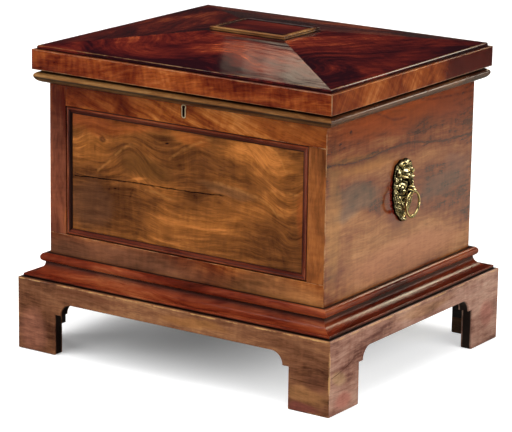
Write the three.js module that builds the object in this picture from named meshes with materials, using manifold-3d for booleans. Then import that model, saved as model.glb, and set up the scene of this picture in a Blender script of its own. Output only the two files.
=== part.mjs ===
// A mahogany wine cellarette: a case with a sunk front panel on a bracket-foot plinth, under a hipped lid.
// Millimetres, +Z up. The origin is on the floor under the middle of the plinth and the front faces -Y.
import * as THREE from "three";
import { mergeVertices } from "three/addons/utils/BufferGeometryUtils.js";
import Module from "manifold-3d";

// Case: four walls mitred at the corners, standing on the bottom board.
const CASE_WIDTH = 560;
const CASE_DEPTH = 470;
const CASE_HEIGHT = 362.4;
const CASE_WALL = 20;

// Plinth: four boards cut into bracket feet, which stand out beyond the case all round.
const PLINTH_HEIGHT = 128;
const PLINTH_OVERHANG = 40;
const PLINTH_BOARD = 22;
const PLINTH_ROUND = 2.5;
const FRONT_FOOT_WIDTH = 80;
const SIDE_FOOT_WIDTH = 90;
const LEG_HEIGHT = 72;
const LEG_STEP = 12;
const ARCH_HEIGHT = 94;
const BOTTOM_BOARD = 16;
const BLOCK_SIZE = 36;
const BLOCK_HEIGHT = 70;

// Base moulding: a fillet, a cavetto and a bead, against the case and on the plinth.
const BASE_FILLET_OUT = 33;
const BASE_FILLET_HEIGHT = 5.7;
const CAVETTO_TOP_OUT = 6;
const CAVETTO_LIP = 2;
const CAVETTO_HEIGHT = 18;
const BEAD_OUT = 5;
const BEAD_RADIUS = 8;
const BEAD_QUIRK = 1;

// Rim moulding: a thumb moulding round the case under the lid.
const RIM_OUT = 20;
const RIM_FLAT = 6;
const RIM_UPPER = 6;
const RIM_LOWER = 14.5;

// Case front: rails and stiles round an opening, with the panel in a groove and strips round it.
const STILE_WIDTH = 34;
const TOP_RAIL_HEIGHT = 59.2;
const BOTTOM_RAIL_HEIGHT = 77.7;
const PANEL_SINK = 4.5;
const PANEL_BOARD = 10;
const PANEL_GROOVE = 6;
const STRIP_WIDTH = 11.5;
const STRIP_HEIGHT = 3.5;

// Lid: a mitred frame and its panel, four hipped slopes and a raised tablet.
const LID_OVERHANG = 21.7;
const LID_FRAME_HEIGHT = 35;
const LID_PANEL = 13;
const LID_LEDGE = 6.7;
const HIP_EDGE_HEIGHT = 5.7;
const HIP_RISE = 23.5;
const TABLET_WIDTH = 152;
const TABLET_DEPTH = 110;
const TABLET_EDGE_WIDTH = 8;
const TABLET_EDGE_HEIGHT = 6.2;
const TABLET_SINK = 2;
const REED_ROUND = 0.9;
const REEDS = 2;

// Inside: an open lead liner and halved boards that part it into cells for bottles.
const LINER_DROP = 62.4;
const LINER_SHEET = 1.6;
const DIVIDER_BOARD = 8;
const DIVIDER_HEIGHT = 200;
const CELLS_ALONG = 4;
const CELLS_ACROSS = 3;

// Lock in the top rail, its sliding bolt, its strike on the lid and the keyhole in front of it.
const LOCK_WIDTH = 56;
const LOCK_HEIGHT = 44;
const LOCK_DEPTH = 11.4;
const SELVEDGE_WIDTH = 72;
const SELVEDGE_SHEET = 1.6;
const TONGUE_WIDTH = 3;
const TONGUE_DEPTH = 8;
const TONGUE_LENGTH = 13;
const TONGUE_CLEARANCE = 1.2;
const TONGUE_END = 2.5;
const STRIKE_LENGTH = 50;
const STRIKE_SHEET = 1.6;
const STRIKE_DEPTH = 10.6;
const BOLT_LENGTH = 14;
const BOLT_DEPTH = 4;
const BOLT_HEIGHT = 4.5;
const BOLT_TRAVEL = 8;
const BOLT_CLEARANCE = 0.5;
const KEYHOLE_DROP = 35.2;
const ESCUTCHEON_HEIGHT = 22;
const ESCUTCHEON_WALL = 1.5;
const ESCUTCHEON_DEPTH = 4;
const KEYHOLE_ROUND = 2.7;
const KEYHOLE_SLOT = 1.5;

// Two butt hinges at the back, whose knuckles stand behind the lid frame.
const HINGE_INSET = 110;
const HINGE_LENGTH = 64;
const HINGE_SHEET = 1;
const LEAF_GAP = 0.4;
const KNUCKLES = 3;
const KNUCKLE_CLEARANCE = 0.8;
const KNUCKLE_ROUND = 3;
const PIN_ROUND = 1.5;
const PIN_HEAD = 2;

// Mask handles, a little above the middle of the case sides, with a ring that hangs through the muzzle.
const MASK_WIDTH = 62;
const MASK_HEIGHT = 96;
const MASK_RISE = 9.5;
const MASK_EDGE = 3;
const MANE_SCALLOP = 1.8;
const CREST_RISE = 7;
const MUZZLE_WIDTH = 18;
const MUZZLE_HEIGHT = 24;
const MUZZLE_RELIEF = 27;
const MUZZLE_POWER = 4;
const RING_OUT = 22;
const RING_ROUND = 21.5;
const RING_WIRE = 2;
const RING_KNOB = 3.6;

// Clearances, and how far a cutting tool runs past what it cuts.
const JOINT_GAP = 0.3;
const MITRE_PULL = 0.2;
const OVERRUN = 5;

// Counts of facets and lobes.
const ARC_STEPS = 6;
const ROUND_STEPS = 16;
const RING_STEPS = 40;
const WIRE_STEPS = 8;
const MASK_TURNS = 56;
const MANE_LOBES = 16;

const halfWidth = CASE_WIDTH / 2;
const halfDepth = CASE_DEPTH / 2;
const caseFoot = PLINTH_HEIGHT + JOINT_GAP;
const caseRim = caseFoot + CASE_HEIGHT;
const lidFoot = caseRim + JOINT_GAP;
const lidTop = lidFoot + LID_FRAME_HEIGHT;
const hipFoot = lidTop + JOINT_GAP;
const hipEdge = hipFoot + HIP_EDGE_HEIGHT;
const hipTop = hipEdge + HIP_RISE;
const openingHalf = halfWidth - STILE_WIDTH;
const openingLow = caseFoot + BOTTOM_RAIL_HEIGHT;
const openingHigh = caseRim - TOP_RAIL_HEIGHT;
const rimDrop = 2 * HINGE_SHEET + LEAF_GAP + JOINT_GAP;

const wasm = await Module();
wasm.setup();

function mahogany(colour, roughness) {
  return new THREE.MeshStandardMaterial({ color: colour, roughness, metalness: 0 });
}

function metal(colour, roughness) {
  return new THREE.MeshStandardMaterial({ color: colour, roughness, metalness: 1 });
}

const FINISHES = {
  front: mahogany(0x8f4f24, 0.3),
  flame: mahogany(0x9a5526, 0.28),
  side: mahogany(0x80492c, 0.32),
  plinth: mahogany(0x7d4b30, 0.36),
  moulding: mahogany(0x4c1c10, 0.25),
  lid: mahogany(0x5a1e10, 0.22),
  lidEdge: mahogany(0x8a3f1c, 0.3),
  tabletEdge: mahogany(0xa8773f, 0.35),
  inside: mahogany(0x6d4a33, 0.7),
  brass: metal(0xb8994e, 0.3),
  lead: metal(0x74777a, 0.6),
  steel: metal(0x6f6c66, 0.5),
};

// Closed mesh to solid and back, for the pieces that need a cut or a join.
function toSolid(geometry) {
  const bare = geometry.clone();
  bare.deleteAttribute("normal");
  bare.deleteAttribute("uv");
  const merged = mergeVertices(bare);
  const vertProperties = new Float32Array(merged.attributes.position.array);
  const triVerts = new Uint32Array(merged.index.array);
  return new wasm.Manifold(new wasm.Mesh({ numProp: 3, vertProperties, triVerts }));
}

function toGeometry(solid) {
  const mesh = solid.getMesh();
  const geometry = new THREE.BufferGeometry();
  geometry.setAttribute("position", new THREE.BufferAttribute(new Float32Array(mesh.vertProperties), 3));
  geometry.setIndex(new THREE.BufferAttribute(new Uint32Array(mesh.triVerts), 1));
  return geometry;
}

function cut(geometry, ...tools) {
  let solid = toSolid(geometry);
  for (const tool of tools) solid = solid.subtract(toSolid(tool));
  return toGeometry(solid);
}

function join(geometry, ...others) {
  let solid = toSolid(geometry);
  for (const other of others) solid = solid.add(toSolid(other));
  return toGeometry(solid);
}

function keep(geometry, region) {
  return toGeometry(toSolid(geometry).intersect(toSolid(region)));
}

function box(low, high) {
  const size = high.map((value, i) => value - low[i]);
  const middle = high.map((value, i) => (value + low[i]) / 2);
  return new THREE.BoxGeometry(...size).translate(...middle);
}

// A cylinder between two points that differ along one axis only: "x" or "y".
function rod(axis, radius, centre, length) {
  const geometry = new THREE.CylinderGeometry(radius, radius, length, ROUND_STEPS);
  if (axis === "x") geometry.rotateZ(Math.PI / 2);
  return geometry.translate(...centre);
}

function arc(centreX, centreY, radiusX, radiusY, from, to) {
  const points = [];
  for (let i = 0; i <= ARC_STEPS; i++) {
    const angle = from + ((to - from) * i) / ARC_STEPS;
    points.push(new THREE.Vector2(centreX + radiusX * Math.cos(angle), centreY + radiusY * Math.sin(angle)));
  }
  return points;
}

// A closed outline, drawn as out (x) and up (y) from the case face, on nested rectangles.
function onRectangles(outline, halfAlong, halfAcross) {
  return outline.map((p) => ({ along: halfAlong + p.x, across: halfAcross + p.x, up: p.y }));
}

// One length of a mitred frame, in its front position: it runs along X and its outside faces -Y.
function mitredLength(levels) {
  const count = levels.length;
  const flat = levels.map((p) => new THREE.Vector2(p.across, p.up));
  const ordered = THREE.ShapeUtils.isClockWise(flat) ? [...levels].reverse() : levels;
  const points = [];
  for (const end of [-1, 1]) {
    for (const p of ordered) points.push(end * (p.along - MITRE_PULL), -p.across, p.up);
  }
  const index = [];
  for (let i = 0; i < count; i++) {
    const j = (i + 1) % count;
    index.push(i, count + i, count + j, i, count + j, j);
  }
  const section = ordered.map((p) => new THREE.Vector2(p.across, p.up));
  for (const [a, b, c] of THREE.ShapeUtils.triangulateShape(section, [])) {
    index.push(a, b, c, count + c, count + b, count + a);
  }
  const geometry = new THREE.BufferGeometry();
  geometry.setAttribute("position", new THREE.Float32BufferAttribute(points, 3));
  geometry.setIndex(index);
  return geometry;
}

// A whole closed frame with mitred corners as one body.
function mitredFrame(levels) {
  const count = levels.length;
  const corners = [
    [-1, -1],
    [1, -1],
    [1, 1],
    [-1, 1],
  ];
  const points = [];
  for (const [x, y] of corners) {
    for (const p of levels) points.push(x * p.along, y * p.across, p.up);
  }
  const index = [];
  for (let k = 0; k < corners.length; k++) {
    const here = k * count;
    const next = ((k + 1) % corners.length) * count;
    for (let i = 0; i < count; i++) {
      const j = (i + 1) % count;
      index.push(here + i, next + i, next + j, here + i, next + j, here + j);
    }
  }
  const geometry = new THREE.BufferGeometry();
  geometry.setAttribute("position", new THREE.Float32BufferAttribute(points, 3));
  geometry.setIndex(index);
  return geometry;
}

const SIDES = [
  { label: "front", turn: 0, long: true },
  { label: "right", turn: Math.PI / 2, long: false },
  { label: "back", turn: Math.PI, long: true },
  { label: "left", turn: -Math.PI / 2, long: false },
];

const cellarette = new THREE.Group();

function add(name, geometry, finish, parent = cellarette) {
  const mesh = new THREE.Mesh(geometry, finish);
  mesh.name = name;
  parent.add(mesh);
  return mesh;
}

// Four lengths round a rectangle, each made in the front position and turned to its side.
function addFourSides(name, makeLength, finish, parent = cellarette, labels = {}) {
  for (const side of SIDES) {
    const mesh = add(`${name}_${labels[side.label] ?? side.label}`, makeLength(side), finish, parent);
    mesh.rotation.z = side.turn;
  }
}

function levelsFor(side, outline, halfAlong = halfWidth, halfAcross = halfDepth) {
  const halves = side.long ? [halfAlong, halfAcross] : [halfAcross, halfAlong];
  return onRectangles(outline, ...halves);
}

function rectangle(inner, outer, low, high) {
  return [
    new THREE.Vector2(inner, low),
    new THREE.Vector2(outer, low),
    new THREE.Vector2(outer, high),
    new THREE.Vector2(inner, high),
  ];
}

// Plinth boards: each has an arch between two bracket feet, with a step and a hollow at each end.
function archTool(halfAlong, halfAcross, footWidth) {
  const legHalf = halfAlong - footWidth;
  const stepHalf = legHalf - LEG_STEP;
  const hollow = ARCH_HEIGHT - LEG_HEIGHT;
  const middle = stepHalf - hollow;
  const shape = new THREE.Shape([
    new THREE.Vector2(-legHalf, -OVERRUN),
    new THREE.Vector2(legHalf, -OVERRUN),
    new THREE.Vector2(legHalf, LEG_HEIGHT),
    ...arc(middle, LEG_HEIGHT, hollow, hollow, 0, Math.PI / 2),
    ...arc(-middle, LEG_HEIGHT, hollow, hollow, Math.PI / 2, Math.PI),
    new THREE.Vector2(-legHalf, LEG_HEIGHT),
  ]);
  const depth = PLINTH_BOARD + 2 * OVERRUN;
  const tool = new THREE.ExtrudeGeometry(shape, { depth, bevelEnabled: false, steps: 1 });
  tool.rotateX(Math.PI / 2);
  return tool.translate(0, -(halfAcross - PLINTH_BOARD - OVERRUN), 0);
}

function plinthBoard(side) {
  const outline = [
    new THREE.Vector2(PLINTH_OVERHANG - PLINTH_BOARD, 0),
    new THREE.Vector2(PLINTH_OVERHANG, 0),
    ...arc(
      PLINTH_OVERHANG - PLINTH_ROUND,
      PLINTH_HEIGHT - PLINTH_ROUND,
      PLINTH_ROUND,
      PLINTH_ROUND,
      0,
      Math.PI / 2,
    ),
    new THREE.Vector2(PLINTH_OVERHANG - PLINTH_BOARD, PLINTH_HEIGHT),
  ];
  const halfAlong = (side.long ? halfWidth : halfDepth) + PLINTH_OVERHANG;
  const halfAcross = (side.long ? halfDepth : halfWidth) + PLINTH_OVERHANG;
  const footWidth = side.long ? FRONT_FOOT_WIDTH : SIDE_FOOT_WIDTH;
  return cut(mitredLength(levelsFor(side, outline)), archTool(halfAlong, halfAcross, footWidth));
}

function addPlinth() {
  addFourSides("plinth", plinthBoard, FINISHES.plinth);
  const insideX = halfWidth + PLINTH_OVERHANG - PLINTH_BOARD - JOINT_GAP;
  const insideY = halfDepth + PLINTH_OVERHANG - PLINTH_BOARD - JOINT_GAP;
  const boardLow = PLINTH_HEIGHT - BOTTOM_BOARD;
  const board = box([-insideX, -insideY, boardLow], [insideX, insideY, PLINTH_HEIGHT]);
  add("bottom_board", board, FINISHES.inside);
  const blockTop = boardLow - JOINT_GAP;
  const centreZ = blockTop - BLOCK_HEIGHT / 2;
  for (const [depthLabel, y] of [["front", -1], ["back", 1]]) {
    for (const [sideLabel, x] of [["left", -1], ["right", 1]]) {
      const block = new THREE.BoxGeometry(BLOCK_SIZE, BLOCK_SIZE, BLOCK_HEIGHT);
      const mesh = add(`corner_block_${depthLabel}_${sideLabel}`, block, FINISHES.inside);
      mesh.position.set(x * (insideX - BLOCK_SIZE / 2), y * (insideY - BLOCK_SIZE / 2), centreZ);
    }
  }
}

// Base moulding, from its seat on the plinth: fillet, hollow cavetto, neck and half-round bead.
function baseMoulding(side) {
  const cavettoFoot = caseFoot + BASE_FILLET_HEIGHT;
  const cavettoOut = BASE_FILLET_OUT - CAVETTO_LIP;
  const cavettoTop = cavettoFoot + CAVETTO_HEIGHT;
  const cavettoReach = cavettoOut - CAVETTO_TOP_OUT;
  const beadCentre = cavettoTop + BEAD_QUIRK + BEAD_RADIUS;
  const outline = [
    new THREE.Vector2(JOINT_GAP, caseFoot),
    new THREE.Vector2(BASE_FILLET_OUT, caseFoot),
    new THREE.Vector2(BASE_FILLET_OUT, cavettoFoot),
    ...arc(cavettoOut, cavettoTop, cavettoReach, CAVETTO_HEIGHT, -Math.PI / 2, -Math.PI),
    ...arc(BEAD_OUT, beadCentre, BEAD_RADIUS, BEAD_RADIUS, -Math.PI / 2, Math.PI / 2),
    new THREE.Vector2(JOINT_GAP, beadCentre + BEAD_RADIUS),
  ];
  return mitredLength(levelsFor(side, outline));
}

// Rim moulding: flat on top, round at the tip and drawn back under to the case face.
function rimMoulding(side) {
  const top = caseRim - rimDrop;
  const tip = top - RIM_UPPER;
  const outline = [
    new THREE.Vector2(JOINT_GAP, tip - RIM_LOWER),
    ...arc(0, tip, RIM_OUT, RIM_LOWER, -Math.PI / 2, 0).slice(1),
    ...arc(RIM_FLAT, tip, RIM_OUT - RIM_FLAT, RIM_UPPER, 0, Math.PI / 2).slice(1),
    new THREE.Vector2(JOINT_GAP, top),
  ];
  return mitredLength(levelsFor(side, outline));
}

function wall(side) {
  return mitredLength(levelsFor(side, rectangle(-CASE_WALL, 0, caseFoot, caseRim)));
}

// The round-topped outline shared by the keyhole, the escutcheon round it and its seat.
function keyholeShape(grow) {
  const upper = ESCUTCHEON_HEIGHT / 2 - ESCUTCHEON_WALL - KEYHOLE_ROUND;
  const lower = ESCUTCHEON_HEIGHT / 2 - ESCUTCHEON_WALL - KEYHOLE_SLOT;
  const shoulder = Math.asin(KEYHOLE_SLOT / KEYHOLE_ROUND);
  const large = KEYHOLE_ROUND + grow;
  const small = KEYHOLE_SLOT + grow;
  return [
    ...arc(0, upper, large, large, shoulder - Math.PI / 2, Math.PI * 1.5 - shoulder),
    ...arc(0, -lower, small, small, -Math.PI, 0),
  ];
}

function keyholePrism(grow, from, to) {
  const shape = new THREE.Shape(keyholeShape(grow));
  const prism = new THREE.ExtrudeGeometry(shape, { depth: to - from, bevelEnabled: false, steps: 1 });
  prism.rotateX(Math.PI / 2);
  return prism.translate(0, to, caseRim - KEYHOLE_DROP);
}

const faceY = -halfDepth;
const innerY = faceY + CASE_WALL;
const lockY = innerY - JOINT_GAP;
const lockBackY = lockY - LOCK_DEPTH;
const tongueY = (lockY + lockBackY) / 2;

function panelSpace(clearance) {
  const reach = PANEL_GROOVE + clearance;
  return box(
    [-openingHalf - reach, faceY + PANEL_SINK - clearance, openingLow - reach],
    [openingHalf + reach, faceY + PANEL_SINK + PANEL_BOARD + clearance, openingHigh + reach],
  );
}

function lockSeat() {
  const half = LOCK_WIDTH / 2 + JOINT_GAP;
  const selvedgeHalf = SELVEDGE_WIDTH / 2 + JOINT_GAP;
  const low = caseRim - LOCK_HEIGHT - JOINT_GAP;
  const back = lockBackY - JOINT_GAP;
  const high = caseRim + OVERRUN;
  const open = innerY + OVERRUN;
  return [
    box([-half, back, low], [half, open, high]),
    box([-selvedgeHalf, back, caseRim - SELVEDGE_SHEET - JOINT_GAP], [selvedgeHalf, open, high]),
  ];
}

// The front wall is one mitred wall parted into two rails and two stiles: the left stile runs up past the
// top rail, and the bottom rail and the right end of the top rail run to the corners.
function addFront() {
  const whole = cut(wall(SIDES[0]), panelSpace(JOINT_GAP));
  const far = halfWidth + OVERRUN;
  const near = faceY - OVERRUN;
  const inside = innerY + OVERRUN;
  const low = caseFoot - OVERRUN;
  const high = caseRim + OVERRUN;
  const topRail = keep(whole, box([-openingHalf + JOINT_GAP, near, openingHigh], [far, inside, high]));
  const seatDepth = faceY + ESCUTCHEON_DEPTH + JOINT_GAP;
  const fitted = cut(
    topRail,
    ...lockSeat(),
    keyholePrism(ESCUTCHEON_WALL + JOINT_GAP, near, seatDepth),
    keyholePrism(0, near, inside),
  );
  add("front_top_rail", fitted, FINISHES.front);
  add("front_bottom_rail", keep(whole, box([-far, near, low], [far, inside, openingLow])), FINISHES.front);
  const stileFoot = openingLow + JOINT_GAP;
  const leftStile = keep(whole, box([-far, near, stileFoot], [-openingHalf, inside, high]));
  add("front_left_stile", leftStile, FINISHES.front);
  const stileHead = openingHigh - JOINT_GAP;
  const rightStile = keep(whole, box([openingHalf, near, stileFoot], [far, inside, stileHead]));
  add("front_right_stile", rightStile, FINISHES.front);
  add("front_panel", panelSpace(0), FINISHES.flame);
}

// Strips round the sunk panel: a quirk, a small bead and a slope down to the panel.
function panelStrip(side) {
  const strip = STRIP_WIDTH;
  const rise = STRIP_HEIGHT;
  const shares = [
    [0, 0],
    [0, 0.4],
    [0.12, 0.4],
    [0.16, 0.82],
    [0.24, 1],
    [0.36, 1],
    [0.44, 0.82],
    [0.5, 0.5],
    [0.75, 0.26],
    [1, 0.2],
    [1, 0],
  ];
  const outline = shares.map(([inShare, upShare]) => {
    return new THREE.Vector2(-JOINT_GAP - inShare * strip, JOINT_GAP + upShare * rise);
  });
  const halfHigh = (openingHigh - openingLow) / 2;
  return mitredLength(levelsFor(side, outline, openingHalf, halfHigh));
}

function addPanelStrips() {
  const frame = new THREE.Group();
  frame.rotation.x = Math.PI / 2;
  frame.position.set(0, faceY + PANEL_SINK, (openingLow + openingHigh) / 2);
  cellarette.add(frame);
  addFourSides("panel_moulding", panelStrip, FINISHES.moulding, frame, { front: "bottom", back: "top" });
}

function addCase() {
  addFront();
  addPanelStrips();
  for (const side of SIDES.slice(1)) {
    const mesh = add(`case_${side.label}`, wall(side), FINISHES.side);
    mesh.rotation.z = side.turn;
  }
  addFourSides("base_moulding", baseMoulding, FINISHES.moulding);
  addFourSides("rim_moulding", rimMoulding, FINISHES.moulding);
}

// Open liner of lead sheet, and the halved boards inside it.
const linerHalfX = halfWidth - CASE_WALL - JOINT_GAP;
const linerHalfY = halfDepth - CASE_WALL - JOINT_GAP;
const linerFoot = caseFoot;

function addLiner() {
  const head = caseRim - LINER_DROP;
  const outer = box([-linerHalfX, -linerHalfY, linerFoot], [linerHalfX, linerHalfY, head]);
  const insideX = linerHalfX - LINER_SHEET;
  const insideY = linerHalfY - LINER_SHEET;
  const floor = linerFoot + LINER_SHEET;
  const inner = box([-insideX, -insideY, floor], [insideX, insideY, head + OVERRUN]);
  add("liner", cut(outer, inner), FINISHES.lead);
}

function addDividers() {
  const halfX = linerHalfX - LINER_SHEET - JOINT_GAP;
  const halfY = linerHalfY - LINER_SHEET - JOINT_GAP;
  const foot = linerFoot + LINER_SHEET + JOINT_GAP;
  const head = foot + DIVIDER_HEIGHT;
  const middle = (foot + head) / 2;
  const halfBoard = DIVIDER_BOARD / 2;
  const halfSlot = halfBoard + JOINT_GAP;
  const past = halfBoard + OVERRUN;
  const pitchX = (2 * halfX + DIVIDER_BOARD) / CELLS_ALONG;
  const pitchY = (2 * halfY + DIVIDER_BOARD) / CELLS_ACROSS;
  const placesX = [];
  for (let i = 1; i < CELLS_ALONG; i++) placesX.push((i - CELLS_ALONG / 2) * pitchX);
  const placesY = [];
  for (let i = 1; i < CELLS_ACROSS; i++) placesY.push((i - CELLS_ACROSS / 2) * pitchY);
  placesY.forEach((y, i) => {
    const board = box([-halfX, -halfBoard, foot], [halfX, halfBoard, head]);
    const low = middle - JOINT_GAP / 2;
    const slots = placesX.map((x) => box([x - halfSlot, -past, low], [x + halfSlot, past, head + OVERRUN]));
    add(`long_divider_${i + 1}`, cut(board, ...slots), FINISHES.inside).position.y = y;
  });
  placesX.forEach((x, i) => {
    const board = box([-halfBoard, -halfY, foot], [halfBoard, halfY, head]);
    const high = middle + JOINT_GAP / 2;
    const slots = placesY.map((y) => box([-past, y - halfSlot, foot - OVERRUN], [past, y + halfSlot, high]));
    add(`cross_divider_${i + 1}`, cut(board, ...slots), FINISHES.inside).position.x = x;
  });
}

// Box lock: a case with a selvedge on the rim, a throat for the strike's tongue and a channel for the bolt.
const strikeTop = lidFoot + STRIKE_SHEET;
const tongueFoot = lidFoot - TONGUE_LENGTH;
const boltLow = tongueFoot + TONGUE_END + BOLT_CLEARANCE;
const boltHigh = boltLow + BOLT_HEIGHT;
const boltStart = TONGUE_WIDTH / 2 + TONGUE_CLEARANCE;

function addLock() {
  const half = LOCK_WIDTH / 2;
  const selvedgeHalf = SELVEDGE_WIDTH / 2;
  const body = box([-half, lockBackY, caseRim - LOCK_HEIGHT], [half, lockY, caseRim - SELVEDGE_SHEET / 2]);
  const selvedge = box([-selvedgeHalf, lockBackY, caseRim - SELVEDGE_SHEET], [selvedgeHalf, lockY, caseRim]);
  const throatX = TONGUE_WIDTH / 2 + TONGUE_CLEARANCE;
  const throatY = TONGUE_DEPTH / 2 + TONGUE_CLEARANCE;
  const throat = box(
    [-throatX, tongueY - throatY, tongueFoot - TONGUE_CLEARANCE],
    [throatX, tongueY + throatY, caseRim + OVERRUN],
  );
  const channelY = BOLT_DEPTH / 2 + BOLT_CLEARANCE;
  const channel = box(
    [-throatX - BOLT_TRAVEL, tongueY - channelY, boltLow - BOLT_CLEARANCE],
    [boltStart + BOLT_LENGTH + BOLT_CLEARANCE, tongueY + channelY, boltHigh + BOLT_CLEARANCE],
  );
  const keyway = keyholePrism(0, lockBackY - OVERRUN, tongueY);
  add("lock_case", cut(join(body, selvedge), throat, channel, keyway), FINISHES.steel);
  const bolt = new THREE.BoxGeometry(BOLT_LENGTH, BOLT_DEPTH, BOLT_HEIGHT);
  const boltMesh = add("lock_bolt", bolt, FINISHES.brass);
  boltMesh.position.set(boltStart + BOLT_LENGTH / 2, tongueY, (boltLow + boltHigh) / 2);
}

function addEscutcheon() {
  const outer = keyholePrism(ESCUTCHEON_WALL, faceY, faceY + ESCUTCHEON_DEPTH);
  const inner = keyholePrism(0, faceY - OVERRUN, faceY + ESCUTCHEON_DEPTH + OVERRUN);
  add("keyhole_escutcheon", cut(outer, inner), FINISHES.brass);
}

function strikeGeometry() {
  const halfPlate = STRIKE_LENGTH / 2;
  const halfDeep = STRIKE_DEPTH / 2;
  const plate = box([-halfPlate, tongueY - halfDeep, lidFoot], [halfPlate, tongueY + halfDeep, strikeTop]);
  const halfTongue = TONGUE_WIDTH / 2;
  const tongueHalfDeep = TONGUE_DEPTH / 2;
  const tongue = box(
    [-halfTongue, tongueY - tongueHalfDeep, tongueFoot],
    [halfTongue, tongueY + tongueHalfDeep, lidFoot + STRIKE_SHEET / 2],
  );
  const eyeY = BOLT_DEPTH / 2 + BOLT_CLEARANCE;
  const eye = box(
    [-halfTongue - OVERRUN, tongueY - eyeY, boltLow - BOLT_CLEARANCE],
    [halfTongue + OVERRUN, tongueY + eyeY, boltHigh + BOLT_CLEARANCE],
  );
  return cut(join(plate, tongue), eye);
}

// Lid frame: its inner edge is flush with the inside of the case, and the front length seats the strike.
function lidFrame(side) {
  const length = mitredLength(levelsFor(side, rectangle(-CASE_WALL, LID_OVERHANG, lidFoot, lidTop)));
  if (side.label !== "front") return length;
  const halfSeat = STRIKE_LENGTH / 2 + JOINT_GAP;
  const halfDeep = STRIKE_DEPTH / 2 + JOINT_GAP;
  const seat = box(
    [-halfSeat, tongueY - halfDeep, lidFoot - OVERRUN],
    [halfSeat, tongueY + halfDeep, strikeTop + JOINT_GAP],
  );
  return cut(length, seat);
}

// One slope of the hipped top, solid down to the lid frame, with a low upright edge outside.
function hipSlope(side) {
  const edge = LID_OVERHANG - LID_LEDGE;
  const outX = halfWidth + edge;
  const outY = halfDepth + edge;
  const inX = TABLET_WIDTH / 2;
  const inY = TABLET_DEPTH / 2;
  const far = side.long ? { along: outX, across: outY } : { along: outY, across: outX };
  const near = side.long ? { along: inX, across: inY } : { along: inY, across: inX };
  return mitredLength([
    { ...far, up: hipFoot },
    { ...far, up: hipEdge },
    { ...near, up: hipTop },
    { ...near, up: hipFoot },
  ]);
}

function addTablet() {
  const halfX = TABLET_WIDTH / 2;
  const halfY = TABLET_DEPTH / 2;
  const edgeFoot = hipTop + JOINT_GAP;
  const edgeTop = edgeFoot + TABLET_EDGE_HEIGHT;
  const blockX = halfX - JOINT_GAP;
  const blockY = halfY - JOINT_GAP;
  const topX = halfX - TABLET_EDGE_WIDTH - JOINT_GAP;
  const topY = halfY - TABLET_EDGE_WIDTH - JOINT_GAP;
  const block = box([-blockX, -blockY, hipFoot], [blockX, blockY, hipTop]);
  const raised = box([-topX, -topY, hipTop - JOINT_GAP], [topX, topY, edgeTop - TABLET_SINK]);
  add("tablet", join(block, raised), FINISHES.lid);
  const reed = TABLET_EDGE_HEIGHT / REEDS;
  const outline = [new THREE.Vector2(-TABLET_EDGE_WIDTH, edgeFoot), new THREE.Vector2(-REED_ROUND, edgeFoot)];
  for (let i = 0; i < REEDS; i++) {
    const centre = edgeFoot + (i + 1 / 2) * reed;
    outline.push(...arc(-REED_ROUND, centre, REED_ROUND, reed / 2, -Math.PI / 2, Math.PI / 2).slice(1));
  }
  outline.push(new THREE.Vector2(-TABLET_EDGE_WIDTH, edgeTop));
  add("tablet_moulding", mitredFrame(onRectangles(outline, halfX, halfY)), FINISHES.tabletEdge);
}

function addLid() {
  addFourSides("lid_frame", lidFrame, FINISHES.lidEdge);
  const halfX = halfWidth - CASE_WALL - JOINT_GAP;
  const halfY = halfDepth - CASE_WALL - JOINT_GAP;
  add("lid_panel", box([-halfX, -halfY, lidTop - LID_PANEL], [halfX, halfY, lidTop]), FINISHES.inside);
  addFourSides("lid_slope", hipSlope, FINISHES.lid);
  addTablet();
  add("lock_strike", strikeGeometry(), FINISHES.brass);
}

// Butt hinges: the case leaf lies on the rim moulding, the lid leaf under the lid frame.
const hingeY = halfDepth + LID_OVERHANG + KNUCKLE_CLEARANCE + KNUCKLE_ROUND;
const caseLeafLow = caseRim - rimDrop + JOINT_GAP;
const caseLeafHigh = caseLeafLow + HINGE_SHEET;
const lidLeafHigh = lidFoot - JOINT_GAP;
const lidLeafLow = lidLeafHigh - HINGE_SHEET;
const hingeZ = (caseLeafHigh + lidLeafLow) / 2;
const knucklePitch = HINGE_LENGTH / KNUCKLES;

function hingeLeaf(low, high, knuckles) {
  const half = HINGE_LENGTH / 2;
  const bodyEnd = hingeY - KNUCKLE_ROUND - JOINT_GAP;
  const plate = box([-half, halfDepth + JOINT_GAP, low], [half, bodyEnd, high]);
  const parts = [];
  const bores = [];
  for (const slot of knuckles) {
    const x = slot * knucklePitch;
    const length = knucklePitch - JOINT_GAP;
    parts.push(rod("x", KNUCKLE_ROUND, [x, hingeY, hingeZ], length));
    parts.push(box([x - length / 2, bodyEnd - HINGE_SHEET, low], [x + length / 2, hingeY, high]));
    bores.push(rod("x", PIN_ROUND + JOINT_GAP, [x, hingeY, hingeZ], length + OVERRUN));
  }
  return cut(join(plate, ...parts), ...bores);
}

function addHinges() {
  for (const [label, side] of [["left", -1], ["right", 1]]) {
    const hinge = new THREE.Group();
    hinge.position.x = side * (halfWidth - HINGE_INSET);
    cellarette.add(hinge);
    add(`hinge_case_leaf_${label}`, hingeLeaf(caseLeafLow, caseLeafHigh, [-1, 1]), FINISHES.brass, hinge);
    add(`hinge_lid_leaf_${label}`, hingeLeaf(lidLeafLow, lidLeafHigh, [0]), FINISHES.brass, hinge);
    const half = HINGE_LENGTH / 2;
    const shank = rod("x", PIN_ROUND, [0, hingeY, hingeZ], HINGE_LENGTH + 2 * JOINT_GAP);
    const heads = [-1, 1].map((end) => {
      const x = end * (half + JOINT_GAP + PIN_HEAD / 2);
      return rod("x", KNUCKLE_ROUND, [x, hingeY, hingeZ], PIN_HEAD);
    });
    add(`hinge_pin_${label}`, join(shank, ...heads), FINISHES.brass, hinge);
  }
}

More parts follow.
